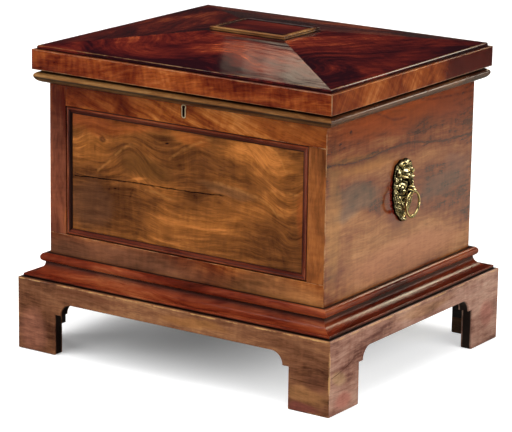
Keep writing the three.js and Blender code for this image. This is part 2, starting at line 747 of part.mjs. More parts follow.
// Lion mask: a relief over an oval plate, as high at each point as the highest of its forms.
const maskX = halfWidth + JOINT_GAP;
const ringX = halfWidth + RING_OUT;
const holeX = ringX - maskX;
const maskCentre = (caseFoot + caseRim) / 2 + MASK_RISE;
const maskHalfWidth = MASK_WIDTH / 2;
const maskHalfHeight = MASK_HEIGHT / 2;
const reliefRise = MUZZLE_RELIEF - MASK_EDGE;

// Shares of a whole turn over which the crest and the beard stand out from the oval.
const CREST_TURN_SHARE = 0.05;
const BEARD_TURN_SHARE = 0.024;

// The mane: the middle and half width of its ring as shares of the oval, its rise and the depth of its lobes.
const MANE_SHARES = { middle: 0.72, half: 0.3, rise: 0.34, lobe: 0.16 };

// Face, bridge of the nose, the two brows, crest and beard: places and sizes as shares of half the mask.
const FORM_SHARES = [
  { across: 0, up: 0.1, wide: 0.72, tall: 0.62, rise: 0.5 },
  { across: 0, up: 0.3, wide: 0.16, tall: 0.34, rise: 0.72 },
  { across: 0.3, up: 0.42, wide: 0.26, tall: 0.13, rise: 0.62 },
  { across: 0, up: 0.96, wide: 0.5, tall: 0.16, rise: 0.4 },
  { across: 0, up: -0.98, wide: 0.2, tall: 0.16, rise: 0.3 },
];

function maskReach(angle) {
  const x = Math.cos(angle);
  const z = Math.sin(angle);
  const oval = 1 / Math.hypot(x / maskHalfWidth, z / maskHalfHeight);
  const turns = angle / (Math.PI * 2);
  const crest = CREST_RISE * Math.exp(-(((turns - 1 / 4) / CREST_TURN_SHARE) ** 2));
  const beard = CREST_RISE * Math.exp(-(((turns - 3 / 4) / BEARD_TURN_SHARE) ** 2));
  return oval + crest + beard + MANE_SCALLOP * Math.cos(MANE_LOBES * angle);
}

// A dome over an oval, 1 in the middle and 0 outside; a higher power makes it flatter on top.
function dome(across, up, halfWide, halfTall, power) {
  const away = Math.hypot(across / halfWide, up / halfTall);
  return Math.max(0, 1 - away ** power);
}

function formHeight(form, y, z) {
  const across = Math.abs(y) - form.across * maskHalfWidth;
  const up = z - form.up * maskHalfHeight;
  return form.rise * dome(across, up, form.wide * maskHalfWidth, form.tall * maskHalfHeight, 2);
}

function maskRelief(y, z, share, angle) {
  const lobe = 1 + MANE_SHARES.lobe * Math.cos(MANE_LOBES * angle);
  const away = (share - MANE_SHARES.middle) / MANE_SHARES.half;
  const mane = MANE_SHARES.rise * lobe * Math.max(0, 1 - away ** 2);
  const muzzle = dome(y, z, MUZZLE_WIDTH / 2, MUZZLE_HEIGHT / 2, MUZZLE_POWER);
  const forms = FORM_SHARES.map((form) => formHeight(form, y, z));
  return MASK_EDGE + reliefRise * Math.max(mane, muzzle, ...forms);
}

const RELIEF_SHARES = [0.09, 0.15, 0.2, 0.25, 0.32, 0.42, 0.54, 0.66, 0.78, 0.88, 0.96, 1];

// The relief is built in the YZ plane, rising along +X from a flat back, ring after ring from the middle.
function maskBody() {
  const points = [MUZZLE_RELIEF, 0, 0];
  const rings = RELIEF_SHARES.length;
  for (const share of RELIEF_SHARES) {
    for (let i = 0; i < MASK_TURNS; i++) {
      const angle = (i / MASK_TURNS) * Math.PI * 2;
      const reach = maskReach(angle) * share;
      const y = reach * Math.cos(angle);
      const z = reach * Math.sin(angle);
      points.push(share === 1 ? MASK_EDGE : maskRelief(y, z, share, angle), y, z);
    }
  }
  const rim = 1 + (rings - 1) * MASK_TURNS;
  const back = rim + MASK_TURNS;
  for (let i = 0; i < MASK_TURNS; i++) points.push(0, points[3 * (rim + i) + 1], points[3 * (rim + i) + 2]);
  const middle = back + MASK_TURNS;
  points.push(0, 0, 0);
  const index = [];
  for (let i = 0; i < MASK_TURNS; i++) {
    const j = (i + 1) % MASK_TURNS;
    index.push(0, 1 + i, 1 + j);
    for (let k = 0; k < rings; k++) {
      const here = 1 + k * MASK_TURNS;
      const next = here + MASK_TURNS;
      index.push(here + i, next + i, next + j, here + i, next + j, here + j);
    }
    index.push(middle, back + j, back + i);
  }
  const geometry = new THREE.BufferGeometry();
  geometry.setAttribute("position", new THREE.Float32BufferAttribute(points, 3));
  geometry.setIndex(index);
  return geometry;
}

// The hole through the muzzle lets the ring's wire lie on its lower lip, at the muzzle's sides.
function maskGeometry() {
  const lipHalf = (MUZZLE_WIDTH / 2) * (1 - (holeX - MASK_EDGE) / reliefRise) ** (1 / MUZZLE_POWER);
  const lipSag = RING_ROUND - Math.sqrt(RING_ROUND ** 2 - lipHalf ** 2);
  const holeRound = (RING_WIRE + lipSag + JOINT_GAP) / Math.cos(Math.PI / ROUND_STEPS);
  return cut(maskBody(), rod("y", holeRound, [holeX, 0, 0], MASK_WIDTH));
}

function ringGeometry() {
  const ring = new THREE.TorusGeometry(RING_ROUND, RING_WIRE, WIRE_STEPS, RING_STEPS);
  ring.rotateY(Math.PI / 2);
  const knob = new THREE.SphereGeometry(RING_KNOB, ROUND_STEPS, ARC_STEPS * 2);
  knob.translate(0, 0, -RING_ROUND);
  return join(ring, knob);
}

function addHandles() {
  for (const [label, turn] of [["right", 0], ["left", Math.PI]]) {
    const handle = new THREE.Group();
    handle.rotation.z = turn;
    cellarette.add(handle);
    const mask = add(`mask_${label}`, maskGeometry(), FINISHES.brass, handle);
    mask.position.set(maskX, 0, maskCentre);
    const ring = add(`ring_${label}`, ringGeometry(), FINISHES.brass, handle);
    ring.position.set(ringX, 0, maskCentre - RING_ROUND);
  }
}

addPlinth();
addCase();
addLiner();
addDividers();
addLock();
addEscutcheon();
addLid();
addHinges();
addHandles();

export default cellarette;
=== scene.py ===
"""A mahogany wine cellarette of about 1810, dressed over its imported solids."""

import math

import bmesh
import bpy
import numpy as np
from mathutils import Matrix, Vector


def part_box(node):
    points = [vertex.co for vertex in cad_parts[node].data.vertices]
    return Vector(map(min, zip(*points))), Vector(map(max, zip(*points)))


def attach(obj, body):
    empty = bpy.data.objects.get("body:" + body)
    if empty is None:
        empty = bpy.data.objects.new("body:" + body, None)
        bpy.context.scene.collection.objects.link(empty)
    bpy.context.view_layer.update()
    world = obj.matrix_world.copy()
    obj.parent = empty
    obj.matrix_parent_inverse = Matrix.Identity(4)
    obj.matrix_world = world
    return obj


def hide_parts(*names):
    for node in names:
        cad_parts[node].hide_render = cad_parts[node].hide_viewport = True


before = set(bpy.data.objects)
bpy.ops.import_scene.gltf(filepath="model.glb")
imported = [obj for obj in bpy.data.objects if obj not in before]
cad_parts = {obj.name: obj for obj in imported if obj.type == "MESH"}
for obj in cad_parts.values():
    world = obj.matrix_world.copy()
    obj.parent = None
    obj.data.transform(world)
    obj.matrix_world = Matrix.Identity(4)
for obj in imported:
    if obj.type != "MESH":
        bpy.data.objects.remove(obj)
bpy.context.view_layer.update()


# Camera: a long lens to the right of the front, a little above the lid, leaning by less than a degree.
LENS_MM = 187.0
CAMERA_PLACE = (2.48457, -3.70323, 1.39511)
CAMERA_RIGHT = (0.82696, 0.56207, 0.01441)
CAMERA_UP = (-0.15381, 0.20150, 0.96734)

camera_data = bpy.data.cameras.new("camera")
camera_data.sensor_fit = "HORIZONTAL"
camera_data.sensor_width = 36.0
camera_data.lens = LENS_MM
camera_data.clip_start = 0.1
camera_data.clip_end = 100.0
camera = bpy.data.objects.new("camera", camera_data)
bpy.context.scene.collection.objects.link(camera)
turn = np.array([CAMERA_RIGHT, CAMERA_UP, np.cross(CAMERA_RIGHT, CAMERA_UP)]).T
camera.matrix_world = Matrix.Translation(CAMERA_PLACE) @ Matrix(turn.tolist()).to_4x4()
bpy.context.scene.camera = camera
bpy.context.scene.view_settings.view_transform = "Standard"


# Floor and room: a wide pale floor that keeps the shadow, in a dim room. Polished wood mirrors the floor at
# the right and behind; under the case, in front and farther off that image fades, so that the dark polish
# stays clear of haze: the floor's glow in reflections is a painted reflection, shaped by place. To the eye the
# floor is lifted towards white, least where the shadow is deepest, so that the depth of the shadow is painted:
# darkest round a point under the left part of the case and lighter towards the right.
FLOOR_HALF = 14.0
FLOOR_COLOUR = (0.80, 0.80, 0.80, 1.0)
FLOOR_LIFT = (0.10, 0.32, 0.56)
FLOOR_LIFT_FAR = 0.6
FLOOR_IMAGE = (1.0, 0.93, 0.74, 1.0)
SHADOW_DEEPEST = (-0.16, -0.06, 0.0)
ROOM_GREY = 0.05
ROOM_MIRRORED = 0.02


def add(tree, kind, inputs=None, **settings):
    """Adds a shader node; each input is a value, or a socket to join to it."""
    made = tree.nodes.new(kind)
    for key, value in settings.items():
        setattr(made, key, value)
    for key, value in (inputs or {}).items():
        if isinstance(value, bpy.types.NodeSocket):
            tree.links.new(value, made.inputs[key])
        else:
            made.inputs[key].default_value = value
    return made


def sums(tree, operation, *values, clamp=False):
    """One Math node on values or sockets."""
    return add(tree, "ShaderNodeMath", dict(enumerate(values)), operation=operation, use_clamp=clamp).outputs[0]


def ease(tree, value, low, high, to_low=0.0, to_high=1.0):
    """Smooth step of a value from low to high, onto to_low to to_high."""
    inputs = {"Value": value, "From Min": low, "From Max": high, "To Min": to_low, "To Max": to_high}
    return add(tree, "ShaderNodeMapRange", inputs, interpolation_type="SMOOTHSTEP").outputs[0]


def mix_to(tree, mask, first, second, data="RGBA"):
    """First where the mask is 0, second where it is 1."""
    pick = {"RGBA": (6, 7, 2), "FLOAT": (2, 3, 0)}[data]
    made = add(tree, "ShaderNodeMix", {0: mask, pick[0]: first, pick[1]: second}, data_type=data)
    return made.outputs[pick[2]]


def new_material(name):
    made = bpy.data.materials.new(name)
    made.use_nodes = True
    made.node_tree.nodes.clear()
    return made, made.node_tree


def floor_material():
    made, tree = new_material("floor_paper")
    rays = add(tree, "ShaderNodeLightPath").outputs
    place = add(tree, "ShaderNodeTexCoord").outputs["Object"]
    split = add(tree, "ShaderNodeSeparateXYZ", {0: place}).outputs
    far = add(tree, "ShaderNodeVectorMath", {0: place}, operation="LENGTH").outputs["Value"]
    mirrored = ease(tree, split["Y"], -0.2, 0.5, 0.05, 0.95)
    for value, low, high, to_low, to_high in (
        (split["X"], 0.9, 1.5, 1.0, 0.05), (split["X"], 0.48, 0.72, 0.35, 1.0), (far, 2.2, 3.2, 1.0, 0.05),
    ):
        mirrored = sums(tree, "MULTIPLY", mirrored, ease(tree, value, low, high, to_low, to_high))
    mirrored = sums(tree, "ADD", mirrored, ease(tree, far, 7.0, 13.0, 0.0, 0.5))
    # Painted shadow: the lift is least round this point and grows towards the right.
    deep = add(tree, "ShaderNodeVectorMath", {0: place, 1: SHADOW_DEEPEST}, operation="DISTANCE").outputs["Value"]
    under = ease(tree, split["X"], 0.0, 0.26, FLOOR_LIFT[1], FLOOR_LIFT[2])
    near = ease(tree, deep, 0.04, 0.30, FLOOR_LIFT[0], under)
    lift = ease(tree, far, 0.6, 2.0, near, FLOOR_LIFT_FAR)
    seen = sums(tree, "MAXIMUM", rays["Is Camera Ray"], rays["Is Transmission Ray"])
    shown = sums(tree, "MULTIPLY", seen, lift)
    paper = add(tree, "ShaderNodeBsdfDiffuse", {"Color": FLOOR_COLOUR}).outputs[0]
    glow = add(tree, "ShaderNodeEmission", {"Strength": shown}).outputs[0]
    lit = add(tree, "ShaderNodeAddShader", {0: paper, 1: glow}).outputs[0]
    image = add(tree, "ShaderNodeEmission", {"Color": FLOOR_IMAGE, "Strength": mirrored}).outputs[0]
    both = add(tree, "ShaderNodeMixShader", {0: rays["Is Glossy Ray"], 1: lit, 2: image}).outputs[0]
    add(tree, "ShaderNodeOutputMaterial", {"Surface": both})
    return made


floor_mesh = bpy.data.meshes.new("floor")
floor_edge = FLOOR_HALF * np.array([[-1, -1, 0], [1, -1, 0], [1, 1, 0], [-1, 1, 0]])
floor_mesh.from_pydata((floor_edge - [0, 0, 0.0005]).tolist(), [], [(0, 1, 2, 3)])
floor_mesh.materials.append(floor_material())
floor = bpy.data.objects.new("floor", floor_mesh)
bpy.context.scene.collection.objects.link(floor)

world = bpy.data.worlds.new("room")
world.use_nodes = True
bpy.context.scene.world = world
room = world.node_tree
room.nodes.clear()
ray = add(room, "ShaderNodeLightPath").outputs
seen = sums(room, "MAXIMUM", ray["Is Camera Ray"], ray["Is Transmission Ray"])
mirror = sums(room, "MULTIPLY_ADD", ray["Is Glossy Ray"], ROOM_MIRRORED - ROOM_GREY, ROOM_GREY)
level = mix_to(room, seen, mirror, 1.0, "FLOAT")
back = add(room, "ShaderNodeBackground", {"Strength": level}).outputs[0]
add(room, "ShaderNodeOutputWorld", {"Surface": back})


# Lamps: soft boxes in front, at the right, overhead and at the left, of which the polish mirrors only the
# overhead one; two strips behind, whose images run along the right mouldings; a long low card on each side,
# seen by nothing but polish and brass, for the masks; and a row of small tilted cards behind on the left,
# each dimmer than the last, so that their image on the lid's front slope fades out.
def softbox(name, place, aim, wide, tall, strength, colour=(1.0, 1.0, 1.0), roll=0.0, mirrored=True):
    """A rectangular lamp that faces its aim; its power is its strength times its area."""
    lamp = bpy.data.lights.new(name, "AREA")
    lamp.shape = "RECTANGLE"
    lamp.size = wide
    lamp.size_y = tall
    lamp.energy = strength * wide * tall
    lamp.color = colour
    held = bpy.data.objects.new(name, lamp)
    away = Vector(place) - Vector(aim)
    turned = away.to_track_quat("Z", "Y").to_matrix().to_4x4() @ Matrix.Rotation(math.radians(roll), 4, "Z")
    held.matrix_world = Matrix.Translation(place) @ turned
    held.visible_glossy = mirrored
    bpy.context.scene.collection.objects.link(held)
    return held


MIDDLE = (0.0, 0.0, 0.3)
WARM, WARMER, WARMEST = (1.0, 0.90, 0.74), (1.0, 0.86, 0.62), (1.0, 0.82, 0.60)
softbox("front_box", (-1.7, -3.6, 2.4), MIDDLE, 4.4, 3.4, 11.8, mirrored=False)
softbox("side_box", (3.9, -0.6, 2.1), MIDDLE, 3.6, 3.0, 10.9, mirrored=False)
softbox("top_box", (0.2, -0.3, 3.6), MIDDLE, 4.0, 4.0, 11.4)
softbox("edge_strip", (0.66, 3.34, 2.40), MIDDLE, 0.8, 0.36, 44.0, WARMER)
softbox("rim_strip", (2.44, 3.37, 0.76), (0.3, 0.0, 0.48), 0.44, 0.30, 27.0, WARM)
softbox("left_box", (-3.6, 0.8, 1.6), MIDDLE, 1.6, 1.6, 14.0, mirrored=False)
for across in (3.3, -3.3):
    card = softbox("brass_card", (across, -0.9, 0.115), (0.0, 0.0, 0.32), 3.0, 0.2, 38.0)
    card.visible_diffuse = False
    card.visible_camera = False
SLOPE_CARD_PLACE, SLOPE_CARD_AIM = (-2.855, 4.057, 2.731), (0.12, -0.17, 0.54)
for along, wide, strength in ((-0.12, 0.30, 4.2), (0.07, 0.08, 3.0), (0.15, 0.08, 1.9), (0.23, 0.08, 0.9)):
    card = softbox("slope_card", SLOPE_CARD_PLACE, SLOPE_CARD_AIM, wide, 0.10, strength, WARMEST, roll=-16.0)
    card.matrix_world = card.matrix_world @ Matrix.Translation((along, 0.0, 0.0))


# Plinth: four mahogany boards mitred at the corners, each sawn to an arch between two bracket feet, with
# a step and a hollow at each foot, and polished. The arrises are rounded and worn through to pale wood.
PLINTH_THICK, PLINTH_ARRIS = 0.022, 0.0022
WEAR_FADE = 0.004
# The short sides take lighter, greyer tones than the long ones: painted light and sheen, as they are lit.
PLINTH_TONES_AS_LIT = {
    "front": ((60, 32, 20), (98, 60, 38), (122, 80, 52), (154, 110, 68)),
    "right": ((92, 56, 46), (138, 98, 82), (162, 124, 106), (184, 150, 128)),
}
FOOT_WIDE = {True: 0.080, False: 0.090}
FOOT_STEP_UP = 0.072
FOOT_STEP_IN = 0.012
FOOT_HOLLOW = 0.022
QUARTER = np.radians([0.0, 22.5, 45.0, 67.5, 90.0])
PLINTH_HALF = (0.320, 0.275)
SIDES = {"front": 0, "right": 1, "back": 2, "left": 3}
LONG_SIDES = ("front", "back")


def colour(rgb):
    """Screen colour of 0 to 255 to the linear colour of a shader."""
    share = np.array(rgb[:3], float) / 255
    linear = np.where(share <= 0.04045, share / 12.92, ((share + 0.055) / 1.055) ** 2.4)
    return (*linear.tolist(), 1.0)


def pair_for(side, pair):
    """A pair given along and out for the front, the other way round for the short sides."""
    return pair if side in LONG_SIDES else pair[::-1]


def upright_axes(side):
    """Axes of a board that stands on a side: along it, up, and through it."""
    return "xzy" if side in LONG_SIDES else "yzx"


def rectangle(low, high):
    """Corners of a rectangle from its low left corner to its high right one, each with no radius."""
    return [(low[0], low[1], 0), (high[0], low[1], 0), (high[0], high[1], 0), (low[0], high[1], 0)]


def tube_faces(rows, around):
    """Faces of a tube: rings of points row over row, closed by a flat at each end."""
    grid = np.arange(rows * around).reshape(rows, around)
    after = np.roll(grid, -1, axis=1)
    faces = np.stack([grid[:-1], after[:-1], after[1:], grid[1:]], -1).reshape(-1, 4).tolist()
    return [*faces, grid[0].tolist(), grid[-1].tolist()]


def lay_mesh(name, points, faces, wear_and_shade=None, sharp=35.0):
    """A closed mesh piece at the origin: doubled points joined, faces turned outwards, flat parts kept flat."""
    mesh = bpy.data.meshes.new(name)
    mesh.from_pydata(np.reshape(points, (-1, 3)).tolist(), [], faces)
    if wear_and_shade is not None:
        mesh.attributes.new("wear_and_shade", "FLOAT", "POINT").data.foreach_set("value", np.asarray(wear_and_shade, np.float32).ravel())
    shape = bmesh.new()
    shape.from_mesh(mesh)
    bmesh.ops.remove_doubles(shape, verts=shape.verts, dist=2e-6)
    bmesh.ops.dissolve_degenerate(shape, edges=shape.edges, dist=1e-7)
    bmesh.ops.recalc_face_normals(shape, faces=shape.faces)
    shape.to_mesh(mesh)
    shape.free()
    mesh.shade_smooth()
    mesh.set_sharp_from_angle(angle=math.radians(sharp))
    made = bpy.data.objects.new(name, mesh)
    bpy.context.scene.collection.objects.link(made)
    return made


def dress(piece, node, material, body=None):
    """Gives a new piece its material, and lets it stand for a node on the node's body."""
    piece.data.materials.append(material)
    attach(piece, body or "case")
    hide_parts(node)
    return piece


def turn_side(side, along, out, up):
    """Points given along a side, out from the middle and up, turned to the front, right, back or left."""
    x, y = [(along, -out), (out, along), (-along, out), (-out, -along)][SIDES[side]]
    return np.stack(np.broadcast_arrays(x, y, up), axis=-1)


def outline_rays(corners, fade):
    """For each corner (u, v, radius) the points of its arc: centre, spoke, inward pull per metre, wear.
    A corner is an arc of its radius about the point where both edges are one radius away."""
    flat = np.array([c[:2] for c in corners], float)
    ahead = np.roll(flat, -1, axis=0) - flat
    ahead /= np.linalg.norm(ahead, axis=1, keepdims=True)
    behind = np.roll(ahead, 1, axis=0)
    rows = []
    for point, t0, t1, radius in zip(flat, behind, ahead, [c[2] for c in corners]):
        n0, n1 = np.array([-t0[1], t0[0]]), np.array([-t1[1], t1[0]])
        pull = (n0 + n1) / (1 + n0 @ n1)
        if radius == 0:
            rows.append([*point, 0, 0, *pull, 0, 0])
            continue
        bend = math.atan2(t0[0] * t1[1] - t0[1] * t1[0], t0 @ t1)
        reach = radius * math.tan(bend / 2)
        turns = np.linspace(0, bend, 5)
        c, s = np.cos(turns), np.sin(turns)
        spoke = radius * np.stack([-n0[0] * c + n0[1] * s, -n0[0] * s - n0[1] * c], 1)
        centre = point + pull * radius
        rows.append([*(point - t0 * (reach + fade)), 0, 0, *n0, 0, 0])
        rows += [[*centre, *one, *pull, radius, w] for one, w in zip(spoke, (0.5, 1, 1, 1, 0.5))]
        rows.append([*(point + t1 * (reach + fade)), 0, 0, *n1, 0, 0])
    table = np.array(rows, float)
    return table[:, :2], table[:, 2:4], table[:, 4:6], table[:, 6], table[:, 7]


def board(
    name, corners, thick, arris, face, side="front", mitre=(None, None), corner=0.0015, worn=0.7, corner_worn=1.0,
    gap=0.0001, fade=WEAR_FADE, edge=0.0,
):
    """A flat board: copies of its outline, pulled in by r(1 - sin a) where they lie r(1 - cos a) under
    either face, joined by strips. A mitred end is cut back by its depth, past the arc of the corner."""
    centre, spoke, pull, radius, corner_wear = outline_rays(corners, (arris + fade) * 1.1)
    arc = np.unique(np.concatenate([arris * (1 - np.cos(QUARTER)), corner * (1 - np.cos(QUARTER[:3]))]).round(8))
    under = np.minimum(arc / arris, 1)
    inset = np.concatenate([[arris + fade], arris * (1 - np.sqrt(1 - (1 - under) ** 2)), [0]])
    depth = np.concatenate([[0], arc, [arc.max() + fade]])
    wear_and_shade = np.concatenate([[0], np.where((arc > 0) & (arc < arris), 1.0, 0.55) * worn, [edge]])
    inset = np.concatenate([inset, inset[::-1]])[:, None]
    depth = np.concatenate([depth, thick - depth[::-1]])[:, None]
    wear_and_shade = np.concatenate([wear_and_shade, np.where(wear_and_shade > 0, wear_and_shade * 0.4, wear_and_shade)[::-1]])[:, None]
    flat = centre + np.maximum(radius - inset, 0)[..., None] / np.maximum(radius, 1e-9)[:, None] * spoke
    flat = flat + np.maximum(inset - radius, 0)[..., None] * pull
    along, up = flat[..., 0], flat[..., 1]
    worth = np.where(wear_and_shade < 0, wear_and_shade, np.maximum(wear_and_shade, corner_wear * (inset <= arris)))
    short = corner - np.sqrt(np.maximum(corner**2 - (corner - np.minimum(depth, corner)) ** 2, 0))
    short = np.where(depth < corner * (1 - math.sqrt(0.5)) + 1e-7, short, depth) + np.maximum(inset - arris, 0) + gap
    for sign, limit in zip((-1, 1), mitre):
        if limit is None:
            continue
        past = sign * along > limit - short
        along = np.where(past, sign * (limit - short), along)
        worth = np.where(past & (depth < corner * 0.3) & (inset <= arris), corner_worn, worth)
    return lay_mesh(name, turn_side(side, along, face - depth, up), tube_faces(*along.shape), worth)


ORIGIN = (0.0, 0.0, 0.0)


def new_group(name, inputs, outputs):
    """An empty shader group with named sockets."""
    tree = bpy.data.node_groups.new(name, "ShaderNodeTree")
    for label, value in inputs.items():
        kind = "NodeSocketVector" if isinstance(value, tuple) else "NodeSocketFloat"
        tree.interface.new_socket(label, in_out="INPUT", socket_type=kind).default_value = value
    for label in outputs:
        kind = "NodeSocketVector" if label == "Vector" else "NodeSocketFloat"
        tree.interface.new_socket(label, in_out="OUTPUT", socket_type=kind)
    return tree, tree.nodes.new("NodeGroupInput").outputs, tree.nodes.new("NodeGroupOutput").inputs


def stretched(tree, vector, factors, scale, detail=3.0, rough=0.55, distort=0.0):
    """Noise on a point whose axes are scaled, so the spots become streaks."""
    scaled = add(tree, "ShaderNodeVectorMath", {0: vector, 1: factors}, operation="MULTIPLY").outputs[0]
    inputs = {"Vector": scaled, "Scale": scale, "Detail": detail, "Roughness": rough, "Distortion": distort}
    return add(tree, "ShaderNodeTexNoise", inputs).outputs["Fac"]


def waver(tree, vector, scale, amount, detail=2.0):
    """Moves a point by a soft noise, amount metres either way. The noise lies askew, so no edge runs square."""
    askew = add(tree, "ShaderNodeMapping", {"Vector": vector, "Rotation": (0.5, 0.7, 0.6)}).outputs[0]
    noise = add(tree, "ShaderNodeTexNoise", {"Vector": askew, "Scale": scale, "Detail": detail}).outputs["Color"]
    centred = add(tree, "ShaderNodeVectorMath", {0: noise, 1: (0.5, 0.5, 0.5)}, operation="SUBTRACT").outputs[0]
    moved = add(tree, "ShaderNodeVectorMath", {0: centred}, operation="SCALE")
    if isinstance(amount, bpy.types.NodeSocket):
        tree.links.new(amount, moved.inputs["Scale"])
    else:
        moved.inputs["Scale"].default_value = amount
    return add(tree, "ShaderNodeVectorMath", {0: vector, 1: moved.outputs[0]}, operation="ADD").outputs[0]


def make_grain():
    """Mahogany grain along X: broad figure, streaks, fibre and pores, all on one wavering point."""
    tree, given, out = new_group(
        "mahogany_grain",
        {"Vector": ORIGIN, "Size": 6.0, "Waver": 0.06, "Length": 0.05},
        ("Figure", "Streak", "Fibre", "Pores", "Curl", "Wave"),
    )
    bent = waver(tree, given["Vector"], 4.5, given["Waver"])
    finer = waver(tree, bent, 26.0, 0.004)
    tree.links.new(stretched(tree, finer, (1.0, 0.2, 1.0), 110.0, 2.0), out["Curl"])
    tree.links.new(stretched(tree, bent, (0.14, 1.0, 1.0), 75.0, 1.0, 0.4), out["Wave"])
    size = given["Size"]
    figure = stretched(tree, bent, (0.42, 1.0, 1.0), 1.0, 4.0, 0.5, 0.35)
    tree.links.new(size, figure.node.inputs["Scale"])
    tree.links.new(ease(tree, figure, 0.3, 0.7), out["Figure"])
    reach = add(tree, "ShaderNodeCombineXYZ", {0: given["Length"], 1: 1.0, 2: 1.0}).outputs[0]
    tree.links.new(stretched(tree, finer, reach, 120.0, 5.0, 0.68), out["Streak"])
    tree.links.new(stretched(tree, finer, (0.03, 1.0, 1.0), 620.0, 2.0), out["Fibre"])
    pores = stretched(tree, given["Vector"], (0.05, 1.0, 1.0), 1100.0, 1.0)
    tree.links.new(ease(tree, pores, 0.6, 0.72), out["Pores"])
    return tree


def make_cloud():
    """One soft patch: 1 inside an oval about a centre, turned in its plane, its edge pulled about by noise."""
    tree, given, out = new_group(
        "figure_patch",
        {"Vector": ORIGIN, "Centre": ORIGIN, "Half": (0.1, 0.1, 1.0), "Turn": 0.0, "Ragged": 0.03, "Soft": 0.6},
        ("Mask",),
    )
    bent = waver(tree, given["Vector"], 14.0, given["Ragged"], 3.0)
    away = add(tree, "ShaderNodeVectorMath", {0: bent, 1: given["Centre"]}, operation="SUBTRACT").outputs[0]
    bend = {"Vector": away, "Angle": given["Turn"]}
    level = add(tree, "ShaderNodeVectorRotate", bend, rotation_type="Z_AXIS").outputs[0]
    shares = add(tree, "ShaderNodeVectorMath", {0: level, 1: given["Half"]}, operation="DIVIDE").outputs[0]
    flat = add(tree, "ShaderNodeVectorMath", {0: shares, 1: (1.0, 1.0, 0.0)}, operation="MULTIPLY").outputs[0]
    far = add(tree, "ShaderNodeVectorMath", {0: flat}, operation="LENGTH").outputs["Value"]
    near = sums(tree, "SUBTRACT", 1.0, given["Soft"])
    tree.links.new(ease(tree, far, near, 1.0, 1.0, 0.0), out["Mask"])
    return tree


def make_wear_and_shade():
    """Rubbed arrises where the drawn value is high, broken up by noise; and painted shade where it is below zero."""
    tree, given, out = new_group("arris_wear_and_shade", {"Vector": ORIGIN, "Wear_and_shade": 0.0, "Patchy": 2.8}, ("Rubbed", "Painted_shade"))
    noise = stretched(tree, given["Vector"], (1.0, 1.0, 1.0), 38.0, 5.0, 0.65)
    level = sums(tree, "MULTIPLY_ADD", sums(tree, "SUBTRACT", noise, 0.62), given["Patchy"], given["Wear_and_shade"])
    tree.links.new(ease(tree, level, 0.35, 1.0), out["Rubbed"])
    tree.links.new(ease(tree, given["Wear_and_shade"], 0.0, -1.0), out["Painted_shade"])
    return tree


def make_line():
    """A thin line across a board at a given height: 1 on the line, 0 a width away, with a fine waver."""
    tree, given, out = new_group(
        "fine_line", {"Vector": ORIGIN, "Height": 0.0, "Width": 0.001, "Waver": 0.002, "Faint": 0.25}, ("Mask",)
    )
    bent = waver(tree, given["Vector"], 60.0, given["Waver"], 3.0)
    up = add(tree, "ShaderNodeSeparateXYZ", {0: bent}).outputs["Y"]
    off = sums(tree, "ABSOLUTE", sums(tree, "SUBTRACT", up, given["Height"]))
    broken = ease(tree, stretched(tree, given["Vector"], (1.0, 1.0, 1.0), 70.0, 2.0), 0.35, 0.6, given["Faint"], 1.0)
    tree.links.new(sums(tree, "MULTIPLY", ease(tree, off, 0.0, given["Width"], 1.0, 0.0), broken), out["Mask"])
    return tree


def make_hill():
    """Lifts the grain over an oval: a point is read from lower down, by the height times e to the minus
    (distance over half size) squared, so the streaks laid on the moved points rise and fall in waves."""
    tree, given, out = new_group(
        "grain_hill", {"Vector": ORIGIN, "Centre": ORIGIN, "Half": (0.1, 0.1, 1.0), "Height": 0.02}, ("Vector",)
    )
    ends = {0: given["Vector"], 1: given["Centre"]}
    away = add(tree, "ShaderNodeVectorMath", ends, operation="SUBTRACT").outputs[0]
    share = add(tree, "ShaderNodeVectorMath", {0: away, 1: given["Half"]}, operation="DIVIDE").outputs[0]
    flat = add(tree, "ShaderNodeVectorMath", {0: share, 1: (1.0, 1.0, 0.0)}, operation="MULTIPLY").outputs[0]
    square = add(tree, "ShaderNodeVectorMath", {0: flat, 1: flat}, operation="DOT_PRODUCT").outputs["Value"]
    lift = sums(tree, "MULTIPLY", sums(tree, "EXPONENT", sums(tree, "MULTIPLY", square, -1.0)), given["Height"])
    down = add(tree, "ShaderNodeCombineXYZ", {1: lift}).outputs[0]
    lower = add(tree, "ShaderNodeVectorMath", {0: given["Vector"], 1: down}, operation="SUBTRACT").outputs[0]
    tree.links.new(lower, out["Vector"])
    return tree


def make_swirl():
    """Turns points round a centre, all of the turn at the centre and none far off: turn times
    e to the minus (distance over radius) squared. Grain laid on the turned points curls."""
    tree, given, out = new_group(
        "grain_swirl", {"Vector": ORIGIN, "Centre": ORIGIN, "Radius": 0.1, "Turn": 0.5}, ("Vector",)
    )
    ends = {0: given["Vector"], 1: given["Centre"]}
    away = add(tree, "ShaderNodeVectorMath", ends, operation="SUBTRACT").outputs[0]
    flat = add(tree, "ShaderNodeVectorMath", {0: away, 1: (1.0, 1.0, 0.0)}, operation="MULTIPLY").outputs[0]
    far = add(tree, "ShaderNodeVectorMath", {0: flat}, operation="LENGTH").outputs["Value"]
    share = sums(tree, "DIVIDE", far, given["Radius"])
    fall = sums(tree, "EXPONENT", sums(tree, "MULTIPLY", sums(tree, "MULTIPLY", share, share), -1.0))
    angle = sums(tree, "MULTIPLY", fall, given["Turn"])
    inputs = {"Vector": given["Vector"], "Center": given["Centre"], "Angle": angle}
    tree.links.new(add(tree, "ShaderNodeVectorRotate", inputs, rotation_type="Z_AXIS").outputs[0], out["Vector"])
    return tree


GRAIN, CLOUD, WEAR_AND_SHADE = make_grain(), make_cloud(), make_wear_and_shade()
LINE, HILL, SWIRL = make_line(), make_hill(), make_swirl()


